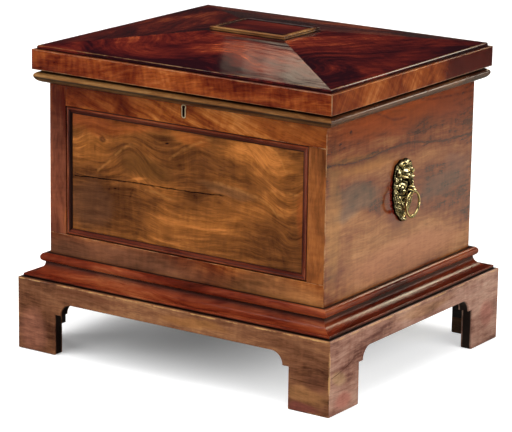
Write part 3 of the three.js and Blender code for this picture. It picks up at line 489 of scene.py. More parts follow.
def group(tree, shared, inputs):
    """Places a shared group in a material, with its own values or sockets, and gives its outputs."""
    made = tree.nodes.new("ShaderNodeGroup")
    made.node_tree = shared
    for key, value in inputs.items():
        if isinstance(value, bpy.types.NodeSocket):
            tree.links.new(value, made.inputs[key])
        else:
            made.inputs[key].default_value = value
    return made.outputs


def oval_patch(tree, face, centre, half, degrees, strength, ragged):
    """Mask of one patch of a board's face, as strong as it is asked to be."""
    patch = {"Vector": face, "Centre": (*centre, 0.0), "Half": (*half, 1.0), "Ragged": ragged}
    patch["Turn"] = math.radians(degrees)
    return sums(tree, "MULTIPLY", group(tree, CLOUD, patch)["Mask"], strength)


def mahogany(
    name, axes, tones, seed=0.0, size=6.0, waver_by=0.06, figure=0.6, streak=0.9, curl=0.15, level=0.5, length=0.05,
    slant=0.0, hills=(), swirls=(), clouds=(), tints=(), lines=(), rough=0.22, ior=1.5, ripple=0.0, raised=0.3,
    worn=0.6, patchy=2.8, rubbed=(190, 132, 70), hollow=(12, 4, 3),
):
    """Polished mahogany. The tone, 0 dark to 1 light, is figure, streaks and curl about a level, with named
    patches over it, and picks a colour from four tones; named tints and lines of their own colour lie over
    that. Axes says which of x, y, z run along, across and through; hills, swirls and a slant bend the grain
    alone. Arrises that are drawn as worn show the rubbed colour; places drawn below zero, in hollows, quirks,
    joints and shaded edges, take the dark hollow colour as painted shade. The polish follows the raised fibre
    a little, and a long soft ripple."""
    made, tree = new_material(name)
    place = add(tree, "ShaderNodeTexCoord").outputs["Object"]
    split = add(tree, "ShaderNodeSeparateXYZ", {0: place}).outputs
    order = [split[letter] for letter in axes.upper()]
    face = add(tree, "ShaderNodeCombineXYZ", dict(enumerate(order))).outputs[0]
    flow = face
    for centre, half, lift in hills:
        hill = {"Vector": flow, "Centre": (*centre, 0.0), "Half": (*half, 1.0), "Height": lift}
        flow = group(tree, HILL, hill)["Vector"]
    for centre, radius, degrees in swirls:
        bend = {"Vector": flow, "Centre": (*centre, 0.0), "Radius": radius, "Turn": math.radians(degrees)}
        flow = group(tree, SWIRL, bend)["Vector"]
    offset = (seed * 1.7, seed * 0.9, seed * 2.3)
    inputs = {"Vector": flow, "Rotation": (0.0, 0.0, math.radians(-slant)), "Location": offset}
    shifted = add(tree, "ShaderNodeMapping", inputs).outputs[0]
    grain = group(tree, GRAIN, {"Vector": shifted, "Size": size, "Waver": waver_by, "Length": length})
    tone = sums(tree, "MULTIPLY_ADD", sums(tree, "SUBTRACT", grain["Figure"], 0.5), figure, level)
    for part, amount in (("Streak", streak), ("Curl", curl)):
        tone = sums(tree, "ADD", tone, sums(tree, "MULTIPLY", sums(tree, "SUBTRACT", grain[part], 0.5), amount))
    for centre, half, degrees, target, strength, ragged in clouds:
        mask = oval_patch(tree, face, centre, half, degrees, strength, ragged)
        clouded = sums(tree, "MULTIPLY_ADD", sums(tree, "SUBTRACT", tone, level), 0.6, target)
        tone = mix_to(tree, mask, tone, clouded, "FLOAT")
    stops = add(tree, "ShaderNodeValToRGB", {0: sums(tree, "ADD", tone, 0.0, clamp=True)})
    ramp = stops.color_ramp
    while len(ramp.elements) < len(tones):
        ramp.elements.new(0.5)
    for stop, where, rgb in zip(ramp.elements, np.linspace(0.06, 0.94, len(tones)), tones):
        stop.position = float(where)
        stop.color = colour(rgb)
    base = stops.outputs["Color"]
    fibre = ease(tree, grain["Fibre"], 0.3, 0.7, 0.86, 1.1)
    base = add(tree, "ShaderNodeVectorMath", {0: base, "Scale": fibre}, operation="SCALE").outputs[0]
    for centre, half, degrees, rgb, strength, ragged in tints:
        mask = oval_patch(tree, face, centre, half, degrees, strength, ragged)
        shade = sums(tree, "MULTIPLY_ADD", tone, 1.1, 0.45)
        tinted = add(tree, "ShaderNodeVectorMath", {0: colour(rgb)[:3], "Scale": shade}, operation="SCALE").outputs[0]
        base = mix_to(tree, mask, base, tinted)
    base = mix_to(tree, sums(tree, "MULTIPLY", grain["Pores"], 0.35), base, colour(tones[0]))
    for points, width, rgb, strength, wavy in lines:
        start, end = points[0][0], points[-1][0]
        heights = [p[1] for p in points]
        low, high = min(heights) - 0.001, max(heights) + 0.001
        along = add(tree, "ShaderNodeMapRange", {"Value": order[0], "From Min": start, "From Max": end}).outputs[0]
        bend = add(tree, "ShaderNodeFloatCurve", {"Value": along})
        curve = bend.mapping.curves[0]
        for u, v in points[1:-1]:
            curve.points.new((u - start) / (end - start), (v - low) / (high - low))
        curve.points[0].location = (0.0, (heights[0] - low) / (high - low))
        curve.points[-1].location = (1.0, (heights[-1] - low) / (high - low))
        bend.mapping.update()
        height = add(tree, "ShaderNodeMapRange", {"Value": bend.outputs[0], "To Min": low, "To Max": high}).outputs[0]
        faint = 0.7 if strength >= 0.8 else 0.2
        stroke = {"Vector": face, "Height": height, "Width": width, "Waver": wavy, "Faint": faint}
        begun, ended = ease(tree, order[0], start - 0.004, start), ease(tree, order[0], end, end + 0.02, 1.0, 0.0)
        mark = sums(tree, "MULTIPLY", group(tree, LINE, stroke)["Mask"], sums(tree, "MULTIPLY", begun, ended))
        base = mix_to(tree, sums(tree, "MULTIPLY", mark, strength), base, colour(rgb))
    drawn = add(tree, "ShaderNodeAttribute", attribute_name="wear_and_shade").outputs["Fac"]
    wear_and_shade = group(tree, WEAR_AND_SHADE, {"Vector": place, "Wear_and_shade": drawn, "Patchy": patchy})
    base = mix_to(tree, sums(tree, "MULTIPLY", wear_and_shade["Rubbed"], worn), base, colour(rubbed))
    # Painted shade: the dark hollow colour where the piece is drawn below zero.
    base = mix_to(tree, sums(tree, "MULTIPLY", wear_and_shade["Painted_shade"], 0.96), base, colour(hollow))
    gloss = ease(tree, grain["Streak"], 0.25, 0.75, rough * 0.85, rough * 1.2)
    gloss = mix_to(tree, wear_and_shade["Rubbed"], gloss, rough + 0.22, "FLOAT")
    gloss = mix_to(tree, wear_and_shade["Painted_shade"], gloss, 0.4, "FLOAT")
    relief = sums(tree, "SUBTRACT", grain["Fibre"], sums(tree, "MULTIPLY", grain["Pores"], 0.8))
    relief = sums(tree, "MULTIPLY_ADD", grain["Wave"], ripple, sums(tree, "MULTIPLY", relief, raised))
    bump = add(tree, "ShaderNodeBump", {"Height": relief, "Strength": 1.0, "Distance": 0.0001})
    polish = add(
        tree,
        "ShaderNodeBsdfPrincipled",
        {"Base Color": base, "Roughness": gloss, "Normal": bump.outputs[0], "IOR": ior},
    )
    add(tree, "ShaderNodeOutputMaterial", {"Surface": polish.outputs[0]})
    return made


def foot_outline(half, foot, top):
    """Outline of a bracket-footed board: the right half from the arch down its hollow, step and leg and up
    the mitred end, after the same turned over for the left half."""
    leg = half - foot
    step = leg - FOOT_STEP_IN
    middle = step - FOOT_HOLLOW
    sweep = np.radians(np.linspace(90, 0, 10))
    across, rise = FOOT_HOLLOW * np.cos(sweep), FOOT_HOLLOW * np.sin(sweep)
    hollow = np.stack([middle + across, FOOT_STEP_UP + rise, 0 * sweep], 1)
    leg_and_end = [(leg, FOOT_STEP_UP, 0), (leg, 0, PLINTH_ARRIS), (half + 0.01, 0, 0), (half + 0.01, top, 0)]
    right = np.concatenate([hollow, leg_and_end])
    return np.concatenate([right[::-1] * [-1, 1, 1], right]).tolist()


foot_patches = {
    "front": [
        ((0.275, 0.030), (0.05, 0.020), 0, (152, 104, 62), 0.7, 0.03),
        ((0.292, 0.052), (0.03, 0.016), 0, (104, 62, 42), 0.7, 0.03),
        ((0.262, 0.008), (0.05, 0.012), 0, (118, 60, 52), 0.7, 0.02),
        ((-0.288, 0.035), (0.035, 0.05), 0, (146, 92, 70), 0.8, 0.03),
        ((0.05, 0.112), (0.09, 0.012), 0, (140, 92, 44), 0.5, 0.02),
        ((-0.16, 0.118), (0.10, 0.010), 0, (84, 44, 28), 0.5, 0.02),
    ],
    "right": [
        ((-0.230, 0.020), (0.035, 0.020), 0, (152, 92, 78), 0.7, 0.03),
        ((-0.245, 0.060), (0.03, 0.014), 20, (158, 124, 88), 0.7, 0.02),
        ((0.235, 0.055), (0.03, 0.03), 0, (160, 98, 84), 0.6, 0.03),
        ((0.02, 0.115), (0.12, 0.012), 0, (150, 106, 66), 0.5, 0.02),
    ],
}
foot_lines = {
    "front": [
        ([(0.245, 0.0535), (0.262, 0.0528), (0.280, 0.0520), (0.305, 0.0524)], 0.0012, (52, 26, 12), 0.9, 0.0012),
    ],
    "right": [
        ([(-0.268, 0.066), (-0.240, 0.071), (-0.215, 0.078), (-0.195, 0.088)], 0.0014, (60, 28, 14), 0.8, 0.0016),
    ],
}
for side in SIDES:
    half, face = pair_for(side, PLINTH_HALF)
    corners = foot_outline(half, FOOT_WIDE[side in LONG_SIDES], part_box(f"plinth_{side}")[1][2])
    wood = mahogany(
        f"plinth_wood_{side}", upright_axes(side), PLINTH_TONES_AS_LIT["front" if side in LONG_SIDES else "right"],
        seed=3.1 + SIDES[side], size=16.0, waver_by=0.03, figure=0.5, streak=1.15, curl=0.3, length=0.2, level=0.42,
        tints=foot_patches.get(side, ()), lines=foot_lines.get(side, ()), rubbed=(196, 150, 88), ior=1.35,
    )
    # Each board's edge, inside the arches and under the feet, is painted black as shade.
    piece = board(
        f"plinth_board_{side}", corners, PLINTH_THICK, PLINTH_ARRIS, face, side, (half, half), corner=0.0016,
        worn=0.34, fade=0.0022, edge=-1.0,
    )
    dress(piece, f"plinth_{side}", wood)


# Inside the plinth: the deal bottom board that the case stands on, and the four glued corner blocks, all
# left from the plane. Their solids are already right, so only the finish is new: deal toned nearly black as
# painted shade, for the dark inside of the plinth.
def redress(node, material):
    """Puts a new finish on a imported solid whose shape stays."""
    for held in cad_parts[node].material_slots:
        held.material = material


DEAL_TONES_IN_SHADE = ((13, 7, 4), (22, 13, 8), (32, 20, 13), (44, 29, 19))
deal = mahogany("deal_in_painted_shade", "xyz", DEAL_TONES_IN_SHADE, seed=5.0, size=10.0, figure=0.4, streak=0.9, rough=0.75, worn=0.2)
for node in ["bottom_board", *[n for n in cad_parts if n.startswith("corner_block")]]:
    redress(node, deal)


# Base moulding: mahogany run to a half-round bead over a hollow, mitred at the corners and planted on the
# foot of the case and the plinth. Painted shade lies in the quirks and along both joints; the bead and the
# lower edge are rubbed.
BASE_TONES = ((44, 10, 4), (84, 26, 12), (116, 50, 26), (146, 82, 46))
CASE_HALF = (0.280, 0.235)
DARK_FROM = -0.3


def sweep_arc(centre, radii, start, stop, steps, wear_and_shade):
    """Points of an oval arc from one angle to another: centre plus radii times cosine and sine."""
    a = np.radians(np.linspace(start, stop, steps))
    worth = np.broadcast_to(np.interp(np.linspace(0, 1, steps), np.linspace(0, 1, len(wear_and_shade)), wear_and_shade), a.shape)
    return np.stack([centre[0] + radii[0] * np.cos(a), centre[1] + radii[1] * np.sin(a), worth], 1)


def length_faces(points, stations):
    """Faces of a length: a closed section of points at each of its stations, and a flat at each end."""
    grid = np.arange(points * stations).reshape(points, stations)
    after = np.roll(grid, -1, axis=0)
    faces = np.stack([grid[:, :-1], grid[:, 1:], after[:, 1:], after[:, :-1]], -1).reshape(-1, 4).tolist()
    return [*faces, grid[:, 0].tolist(), grid[:, -1].tolist()]


def moulding(name, section, half_along, half_out, side, end_wear=0.7, fade=WEAR_FADE, gap=0.0001, place=turn_side):
    """A mitred length: every point of the closed section (out, up, wear) runs straight from its own mitre
    to its own mitre, so its half length is the half side plus how far it stands out. The mitres are worn,
    but not where the section is dark."""
    out, up, wear_and_shade = np.asarray(section, float).T
    reach = (half_along + out - gap)[:, None]
    along = np.concatenate([-reach, fade - reach, reach - fade, reach], axis=1)
    ends = np.where(wear_and_shade < DARK_FROM, wear_and_shade, np.maximum(wear_and_shade, end_wear))
    points = place(side, along, (half_out + out)[:, None], up[:, None])
    return lay_mesh(name, points, length_faces(*along.shape), np.stack([ends, wear_and_shade, wear_and_shade, ends], 1))


base_section = np.concatenate([
    [(0.0003, 0.1283, -1), (0.0318, 0.1283, -1)],
    sweep_arc((0.0322, 0.1291), (0.0008, 0.0008), -90, 0, 4, [-1, -1]),
    [(0.0330, 0.1304, -1.0), (0.0330, 0.1312, -0.2)],
    sweep_arc((0.0318, 0.1328), (0.0012, 0.0012), 0, 90, 6, [0.3, 0.6, 0.6, 0.2]),
    sweep_arc((0.0310, 0.1520), (0.0250, 0.0180), -90, -180, 14, [0.1, 0.0, -0.05, -0.25, -0.8]),
    [(0.0058, 0.1526, -1.0)],
    sweep_arc((0.0050, 0.1610), (0.0080, 0.0080), -86, 88, 18, [-1, -0.6, -0.1, 0.1, 0.15, 0.15, 0.1, 0.05, -1]),
    [(0.0003, 0.1690, -1.0)],
])
for side in SIDES:
    wood = mahogany(
        f"base_wood_{side}", upright_axes(side), BASE_TONES, seed=8.3 + SIDES[side], size=9.0, figure=0.6,
        streak=1.0, rough=0.18, patchy=1.6, rubbed=(160, 100, 54), ior=1.35,
    )
    piece = moulding(f"base_bead_{side}", base_section, *pair_for(side, CASE_HALF), side, fade=0.0018)
    dress(piece, f"base_moulding_{side}", wood)


# Case sides and back: wide mahogany boards mitred at the corners. The right side, which the light rakes,
# shows a wavy dark streak under a redder band, greyish clouds lower down that are a painted sheen, and a
# paler rubbed front corner; round its lion mask lies a painted dark reflection and shadow of the brass.
SIDE_TONES = ((50, 13, 6), (106, 48, 20), (138, 84, 44), (164, 112, 68))
CASE_FOOT, CASE_RIM = 0.1283, 0.4907
CASE_THICK = 0.020
PAST_CORNER = 0.01
RUBBED_CASE = (180, 138, 84)
DOTS = 2400


def on_side(px, py):
    """A place on the right side from its offset on a drawing at 2.4 dots per millimetre."""
    return (-0.235 + px / DOTS, 0.491 - py / DOTS)


def drawn_line(place, points, wide, rgb, strength, wavy):
    """A thin line through points of a drawing: its places, width, colour, strength and waver."""
    return ([place(*p) for p in points], wide, rgb, strength, wavy)


dark_streak = [
    (5, 214), (60, 218), (150, 230), (300, 236), (430, 228), (600, 229), (700, 243), (800, 260), (900, 272),
    (1000, 276), (1125, 282),
]
under_streak = [(40, 222), (150, 238), (300, 244), (420, 238), (560, 240)]
side_lines = [
    drawn_line(on_side, dark_streak, 0.0038, (58, 16, 6), 1.0, 0.003),
    drawn_line(on_side, under_streak, 0.0080, (92, 38, 14), 0.7, 0.006),
    drawn_line(on_side, [(330, 60), (400, 80), (480, 110), (560, 120)], 0.0040, (80, 26, 10), 0.7, 0.004),
    drawn_line(on_side, [(700, 66), (820, 84), (960, 92), (1100, 100)], 0.0040, (70, 20, 8), 0.7, 0.004),
]
side_clouds = [
    (on_side(560, 120), (0.26, 0.040), 0, 0.42, 0.8, 0.03),
    (on_side(1000, 150), (0.16, 0.060), 6, 0.40, 0.5, 0.06),
    (on_side(300, 190), (0.18, 0.014), 0, 0.66, 0.8, 0.01),
    (on_side(300, 290), (0.15, 0.018), 3, 0.72, 0.8, 0.02),
    (on_side(860, 330), (0.16, 0.016), 4, 0.62, 0.7, 0.02),
    (on_side(560, 650), (0.26, 0.070), 2, 0.64, 0.7, 0.04),
    (on_side(170, 106), (0.005, 0.004), 0, 0.02, 0.9, 0.003),
    (on_side(260, 480), (0.08, 0.022), 10, 0.76, 0.8, 0.03),
    (on_side(650, 560), (0.12, 0.018), -6, 0.40, 0.7, 0.03),
]
side_tints = [
    (on_side(560, 100), (0.27, 0.040), 0, (146, 62, 14), 0.85, 0.03),
    (on_side(1000, 110), (0.14, 0.050), 0, (136, 56, 22), 0.6, 0.05),
    (on_side(240, 250), (0.14, 0.022), 4, (142, 88, 36), 0.7, 0.02),
    # These four greyish tints are a painted sheen.
    (on_side(240, 375), (0.090, 0.030), 8, (100, 72, 54), 0.8, 0.03),
    (on_side(150, 425), (0.050, 0.018), 0, (96, 70, 54), 0.7, 0.02),
    (on_side(890, 450), (0.100, 0.028), -4, (104, 66, 50), 0.75, 0.03),
    (on_side(1000, 380), (0.060, 0.020), 10, (106, 62, 46), 0.6, 0.03),
    (on_side(60, 450), (0.030, 0.14), 0, (140, 92, 42), 0.6, 0.02),
    (on_side(600, 690), (0.25, 0.045), 0, (140, 84, 56), 0.6, 0.03),
    (on_side(500, 460), (0.05, 0.03), 0, (148, 84, 40), 0.6, 0.03),
    # A painted dark reflection and shadow of the lion mask, round it and a little to its front and below.
    ((-0.014, 0.312), (0.056, 0.070), 0, (84, 20, 12), 1.0, 0.005),
]
right_figure = {"clouds": side_clouds, "tints": side_tints, "lines": side_lines}
for side in ("right", "back", "left"):
    half, face = pair_for(side, CASE_HALF)
    wood = mahogany(
        f"case_wood_{side}", upright_axes(side), SIDE_TONES, seed=12.7 + SIDES[side], size=7.0, waver_by=0.05,
        figure=0.7, streak=1.1, curl=0.4, length=0.14, rough=0.1, ior=1.52, patchy=2.4, worn=0.45,
        rubbed=RUBBED_CASE, **(right_figure if side == "right" else {}),
    )
    corners = rectangle((-half - PAST_CORNER, CASE_FOOT), (half + PAST_CORNER, CASE_RIM))
    piece = board(
        f"case_board_{side}", corners, CASE_THICK, 0.0008, face, side, (half, half), corner=0.0008, worn=0.2,
        fade=0.0012,
    )
    dress(piece, f"case_{side}", wood)


# Case front: a frame of rails and stiles round the panel. The left stile runs up past the top rail, and
# the other ends of the rails run to the corners. The top rail has the keyhole and the seat of the lock.
FRONT_TONES = ((62, 14, 6), (98, 40, 12), (136, 72, 24), (176, 110, 50))
OPENING = 0.246
OPENING_LOW, OPENING_HIGH = 0.206, 0.4315
KEYHOLE_MIDDLE = (0.0, 0.4555)
KEYHOLE_ROUND, KEYHOLE_SLOT = 0.0030, 0.0023
KEYHOLE_UP, KEYHOLE_DOWN = 0.0066, 0.0076


def keyhole_line(grow, steps=14):
    """Outline of a keyhole: a large arc above, closed by a small one below, both grown by the same."""
    lean = math.asin(KEYHOLE_SLOT / KEYHOLE_ROUND)
    upper = np.linspace(lean - math.pi / 2, math.pi * 1.5 - lean, 2 * steps)
    lower = np.linspace(-math.pi, 0, steps)
    large, small = KEYHOLE_ROUND + grow, KEYHOLE_SLOT + grow
    x = np.concatenate([large * np.cos(upper), small * np.cos(lower)])
    z = np.concatenate([KEYHOLE_UP + large * np.sin(upper), small * np.sin(lower) - KEYHOLE_DOWN])
    return KEYHOLE_MIDDLE[0] + x, KEYHOLE_MIDDLE[1] + z


def prism(name, x, z, front, back):
    """A straight-sided solid on an outline of the front, between two depths."""
    points = np.stack([np.stack([x, np.full(len(x), y), z], 1) for y in (front, back)])
    return lay_mesh(name, points, tube_faces(2, len(x)))


def carve(piece, *tools):
    """Cuts the tools out of a piece and throws them away."""
    for tool in tools:
        cutter = piece.modifiers.new("cut", "BOOLEAN")
        cutter.operation, cutter.solver, cutter.object = "DIFFERENCE", "EXACT", tool
        bpy.context.view_layer.update()
        whole = bpy.data.meshes.new_from_object(piece.evaluated_get(bpy.context.evaluated_depsgraph_get()))
        piece.modifiers.clear()
        piece.data = whole
        bpy.data.objects.remove(tool)
    piece.data.set_sharp_from_angle(angle=math.radians(35))


def block(name, low, high):
    """A plain box, used only to cut with."""
    x = np.array([low[0], high[0], high[0], low[0]])
    z = np.array([low[2], low[2], high[2], high[2]])
    return prism(name, x, z, low[1], high[1])


END = CASE_HALF[0] + PAST_CORNER
JOINT = 0.0003
rails = {
    "front_top_rail": ((-OPENING + JOINT, OPENING_HIGH), (END, CASE_RIM), (None, CASE_HALF[0])),
    "front_bottom_rail": ((-END, CASE_FOOT), (END, OPENING_LOW), (CASE_HALF[0], CASE_HALF[0])),
    "front_left_stile": ((-END, OPENING_LOW + JOINT), (-OPENING, CASE_RIM), (CASE_HALF[0], None)),
    "front_right_stile": ((OPENING, OPENING_LOW + JOINT), (END, OPENING_HIGH - JOINT), (None, CASE_HALF[0])),
}
rail_figure = {
    "front_top_rail": dict(axes="xzy", level=0.42, slant=-18, clouds=[
        ((0.20, 0.46), (0.18, 0.05), 0, 0.80, 0.85, 0.04),
        ((-0.16, 0.46), (0.14, 0.05), 0, 0.24, 0.7, 0.04),
    ], tints=[
        # A painted shadow round the keyhole's brass thread.
        ((0.0, 0.4548), (0.0085, 0.0165), 0, (58, 24, 10), 0.8, 0.002),
    ]),
    "front_bottom_rail": dict(axes="xzy", level=0.45, tints=[
        ((-0.15, 0.167), (0.30, 0.06), 0, (104, 64, 42), 0.9, 0.03),
        ((0.19, 0.167), (0.15, 0.06), 0, (124, 80, 44), 0.75, 0.03),
    ]),
    "front_left_stile": dict(axes="zxy", level=0.32, tints=[
        ((0.28, -0.27), (0.22, 0.05), 0, (108, 58, 40), 0.8, 0.03),
    ]),
    "front_right_stile": dict(axes="zxy", level=0.5, tints=[
        ((0.32, 0.262), (0.20, 0.05), 0, (128, 76, 35), 0.65, 0.03),
    ]),
}
for node, (low, high, mitre) in rails.items():
    wood = mahogany(
        f"{node}_wood", tones=FRONT_TONES, seed=20.0 + len(node), size=13.0, figure=0.7, streak=1.2, curl=0.4,
        length=0.12, rough=0.2, worn=0.45, rubbed=RUBBED_CASE, **rail_figure[node],
    )
    piece = board(
        f"{node}_board", rectangle(low, high), CASE_THICK, 0.0004, CASE_HALF[1], "front", mitre, corner=0.0008,
        worn=0.1, fade=0.0012,
    )
    if node == "front_top_rail":
        carve(
            piece,
            prism("seat", *keyhole_line(0.0022), -0.24, -0.2308),
            prism("hole", *keyhole_line(0.0), -0.24, -0.21),
            block("lock_seat", (-0.0283, -0.2270, 0.4464), (0.0283, -0.21, 0.5)),
            block("selvedge_seat", (-0.0363, -0.2270, 0.4888), (0.0363, -0.21, 0.5)),
        )
    dress(piece, node, wood)


# Front panel: one wide board of flame mahogany in a groove of the frame, with its dark feathered clouds,
# golden sweeps between them, and an old crack that runs in from the left.
PANEL_TONES = ((46, 20, 8), (90, 50, 20), (124, 72, 28), (176, 106, 44))
PANEL_FACE = 0.2305


def at(px, py):
    """A place on the panel from its offset on a drawing of the front, at as many dots as the side's."""
    return (-0.280 + px / DOTS, 0.491 - py / DOTS)


def spread(wide, tall):
    """Half sizes of an oval from its whole width and height on that drawing."""
    return (wide / (2 * DOTS), tall / (2 * DOTS))


panel_clouds = [
    (at(230, 290), spread(240, 170), 10, 0.66, 0.75, 0.03),
    (at(640, 195), spread(200, 80), 0, 0.76, 0.75, 0.03),
    (at(410, 335), spread(250, 110), 22, 0.30, 0.95, 0.02),
    (at(540, 350), spread(200, 120), -8, 0.34, 0.95, 0.02),
    (at(240, 525), spread(360, 250), 0, 0.30, 0.9, 0.03),
    (at(375, 600), spread(210, 60), -12, 0.52, 0.6, 0.02),
    (at(820, 280), spread(400, 78), -3, 0.34, 0.9, 0.02),
    (at(760, 362), spread(210, 60), -6, 0.38, 0.8, 0.02),
    (at(1015, 325), spread(150, 110), 0, 0.36, 0.8, 0.03),
    (at(1150, 318), spread(170, 44), 4, 0.40, 0.8, 0.015),
    (at(1000, 205), spread(360, 120), 0, 0.78, 0.85, 0.03),
    (at(1150, 240), spread(190, 100), 0, 0.74, 0.8, 0.02),
    (at(900, 450), spread(460, 120), -6, 0.68, 0.85, 0.04),
    (at(570, 560), spread(300, 140), -6, 0.74, 0.85, 0.03),
    (at(790, 530), spread(340, 100), -8, 0.66, 0.7, 0.03),
    (at(530, 622), spread(130, 60), 0, 0.80, 0.7, 0.02),
    (at(1180, 452), spread(80, 50), -20, 0.30, 0.8, 0.03),
    (at(1102, 452), spread(34, 50), 0, 0.30, 0.6, 0.02),
    (at(1080, 505), spread(110, 60), -15, 0.44, 0.8, 0.03),
    (at(1130, 390), spread(110, 40), 10, 0.34, 0.8, 0.015),
    (at(1215, 600), spread(130, 140), 0, 0.46, 0.8, 0.04),
    (at(1010, 560), spread(330, 44), -4, 0.46, 0.7, 0.03),
    (at(530, 470), spread(100, 56), -10, 0.28, 0.8, 0.015),
    (at(690, 460), spread(140, 60), -6, 0.40, 0.7, 0.02),
    (at(412, 462), spread(16, 60), 22, 0.20, 0.5, 0.008),
    (at(445, 395), spread(120, 16), -10, 0.80, 0.8, 0.006),
    (at(262, 257), spread(44, 34), 20, 0.04, 0.8, 0.008),
    (at(264, 258), spread(20, 14), 20, 0.50, 0.9, 0.004),
    (at(224, 300), spread(10, 40), 0, 0.30, 0.7, 0.004),
    (at(585, 232), spread(28, 10), -10, 0.10, 0.8, 0.004),
]
panel_tints = [
    (at(190, 180), spread(420, 130), 6, (110, 44, 16), 0.6, 0.06),
    (at(450, 180), spread(400, 120), -10, (134, 62, 22), 0.45, 0.06),
    (at(700, 190), spread(240, 90), 0, (154, 80, 28), 0.4, 0.05),
    (at(1230, 450), spread(70, 300), 0, (124, 60, 22), 0.6, 0.02),
    (at(200, 545), spread(300, 260), 0, (92, 58, 38), 0.6, 0.04),
    (at(480, 340), spread(330, 130), 8, (98, 60, 24), 0.6, 0.03),
    (at(880, 380), spread(360, 60), 4, (118, 78, 46), 0.5, 0.03),
]


LIGHT, DARK = (184, 122, 58), (74, 32, 10)
crack = [(122, 431), (260, 423), (420, 416), (600, 413), (740, 409), (840, 402)]
panel_lines = [
    drawn_line(at, crack, 0.0021, (20, 7, 3), 1.0, 0.0030),
    drawn_line(at, [(122, 418), (170, 424), (235, 424)], 0.0012, (30, 12, 5), 0.8, 0.0010),
    drawn_line(at, [(240, 392), (290, 350), (345, 300), (400, 262)], 0.0050, LIGHT, 0.25, 0.005),
    drawn_line(at, [(600, 290), (660, 248), (720, 215), (780, 188)], 0.0050, LIGHT, 0.22, 0.005),
    drawn_line(at, [(815, 353), (930, 368), (1040, 392), (1112, 440)], 0.0046, LIGHT, 0.25, 0.005),
    drawn_line(at, [(480, 438), (540, 442), (596, 456)], 0.0044, LIGHT, 0.22, 0.005),
    drawn_line(at, [(1085, 352), (1130, 344), (1190, 347)], 0.0040, LIGHT, 0.22, 0.004),
    drawn_line(at, [(930, 165), (985, 200), (1018, 262)], 0.0040, DARK, 0.35, 0.003),
    drawn_line(at, [(1060, 168), (1110, 200), (1150, 262)], 0.0050, LIGHT, 0.2, 0.005),
]
panel_hills = [
    (at(400, 300), (0.036, 0.040), 0.030),
    (at(720, 235), (0.045, 0.034), 0.022),
    (at(880, 200), (0.050, 0.040), 0.020),
    (at(1170, 430), (0.050, 0.060), -0.036),
    (at(215, 255), (0.030, 0.030), 0.018),
    (at(560, 610), (0.090, 0.036), -0.012),
    (at(980, 540), (0.060, 0.034), 0.010),
    (at(560, 390), (0.036, 0.024), -0.012),
    (at(820, 400), (0.030, 0.020), 0.008),
]
flame = mahogany(
    "flame_panel", "xzy", PANEL_TONES, seed=31.4, size=15.0, waver_by=0.045, figure=0.4, streak=1.2, curl=0.3,
    level=0.47, length=0.10, rough=0.2, ripple=0.5, clouds=panel_clouds, tints=panel_tints, lines=panel_lines,
    hills=panel_hills, swirls=[(at(1040, 230), 0.030, 40), (at(1150, 470), 0.030, 60)],
)
panel = board("flame_board", rectangle((-0.252, 0.200), (0.252, 0.4375)), 0.010, 0.0005, PANEL_FACE, worn=0.0)
dress(panel, "front_panel", flame)


# Panel moulding: four strips round the sunk panel, each with a quirk, a small bead and a slope down to the
# panel, mitred and glued into the corner. The quirks are painted dark as shade, and the slope of each
# strip is painted as dark as its side of the opening is shaded.
def turn_panel(side, along, out, up):
    """The same as turn_side, in the plane of the front: out is across the opening, up is towards the room."""
    flat = turn_side(side, along, out, up)
    middle = (OPENING_LOW + OPENING_HIGH) / 2
    return np.stack([flat[..., 0], -PANEL_FACE - flat[..., 2], middle + flat[..., 1]], -1)


strip_section = np.array([
    (0, 0, -1), (0, 0.4, -1), (0.08, 0.42, -1), (0.12, 0.5, -0.9), (0.14, 0.68, -0.3), (0.17, 0.84, 0.1),
    (0.21, 0.95, 0.4), (0.27, 1.0, 0.7), (0.33, 1.0, 0.7), (0.39, 0.93, 0.3), (0.43, 0.82, 0.0),
    (0.46, 0.66, -0.4), (0.49, 0.5, -1), (0.53, 0.44, -0.9), (0.62, 0.36, -0.1), (0.75, 0.28, 0.0),
    (0.9, 0.23, 0.1), (1.0, 0.2, 0.2), (1.0, 0, -1),
]) * [-0.0115, 0.0035, 1] + [-0.0003, 0.0003, 0]
STRIP_SHADE = {
    "left": (-0.8, -0.6, -1.0, -1.0), "top": (-0.9, -0.4, -0.5, -1.0), "right": (-0.9, -0.2, -0.3, -0.9),
    "bottom": (-1.0, -0.3, -0.1, -0.9),
}
STRIP_TONES = ((34, 6, 3), (70, 20, 8), (104, 42, 18), (140, 78, 42))
for node, side in {"bottom": "front", "right": "right", "top": "back", "left": "left"}.items():
    halves = pair_for(side, (OPENING, (OPENING_HIGH - OPENING_LOW) / 2))
    wood = mahogany(
        f"strip_wood_{node}", "xzy" if side in LONG_SIDES else "zxy", STRIP_TONES, seed=40.0 + SIDES[side],
        size=9.0, figure=0.4, streak=0.8, rough=0.3, patchy=1.0, worn=0.5, rubbed=(146, 88, 48), ior=1.35,
    )
    shaded = strip_section.copy()
    shaded[11:-1, 2] = np.interp(np.arange(len(shaded) - 12), [0, 1.5, 4, 6], STRIP_SHADE[node])
    piece = moulding(f"panel_strip_{node}", shaded, *halves, side, end_wear=0.0, place=turn_panel)
    dress(piece, f"panel_moulding_{node}", wood)


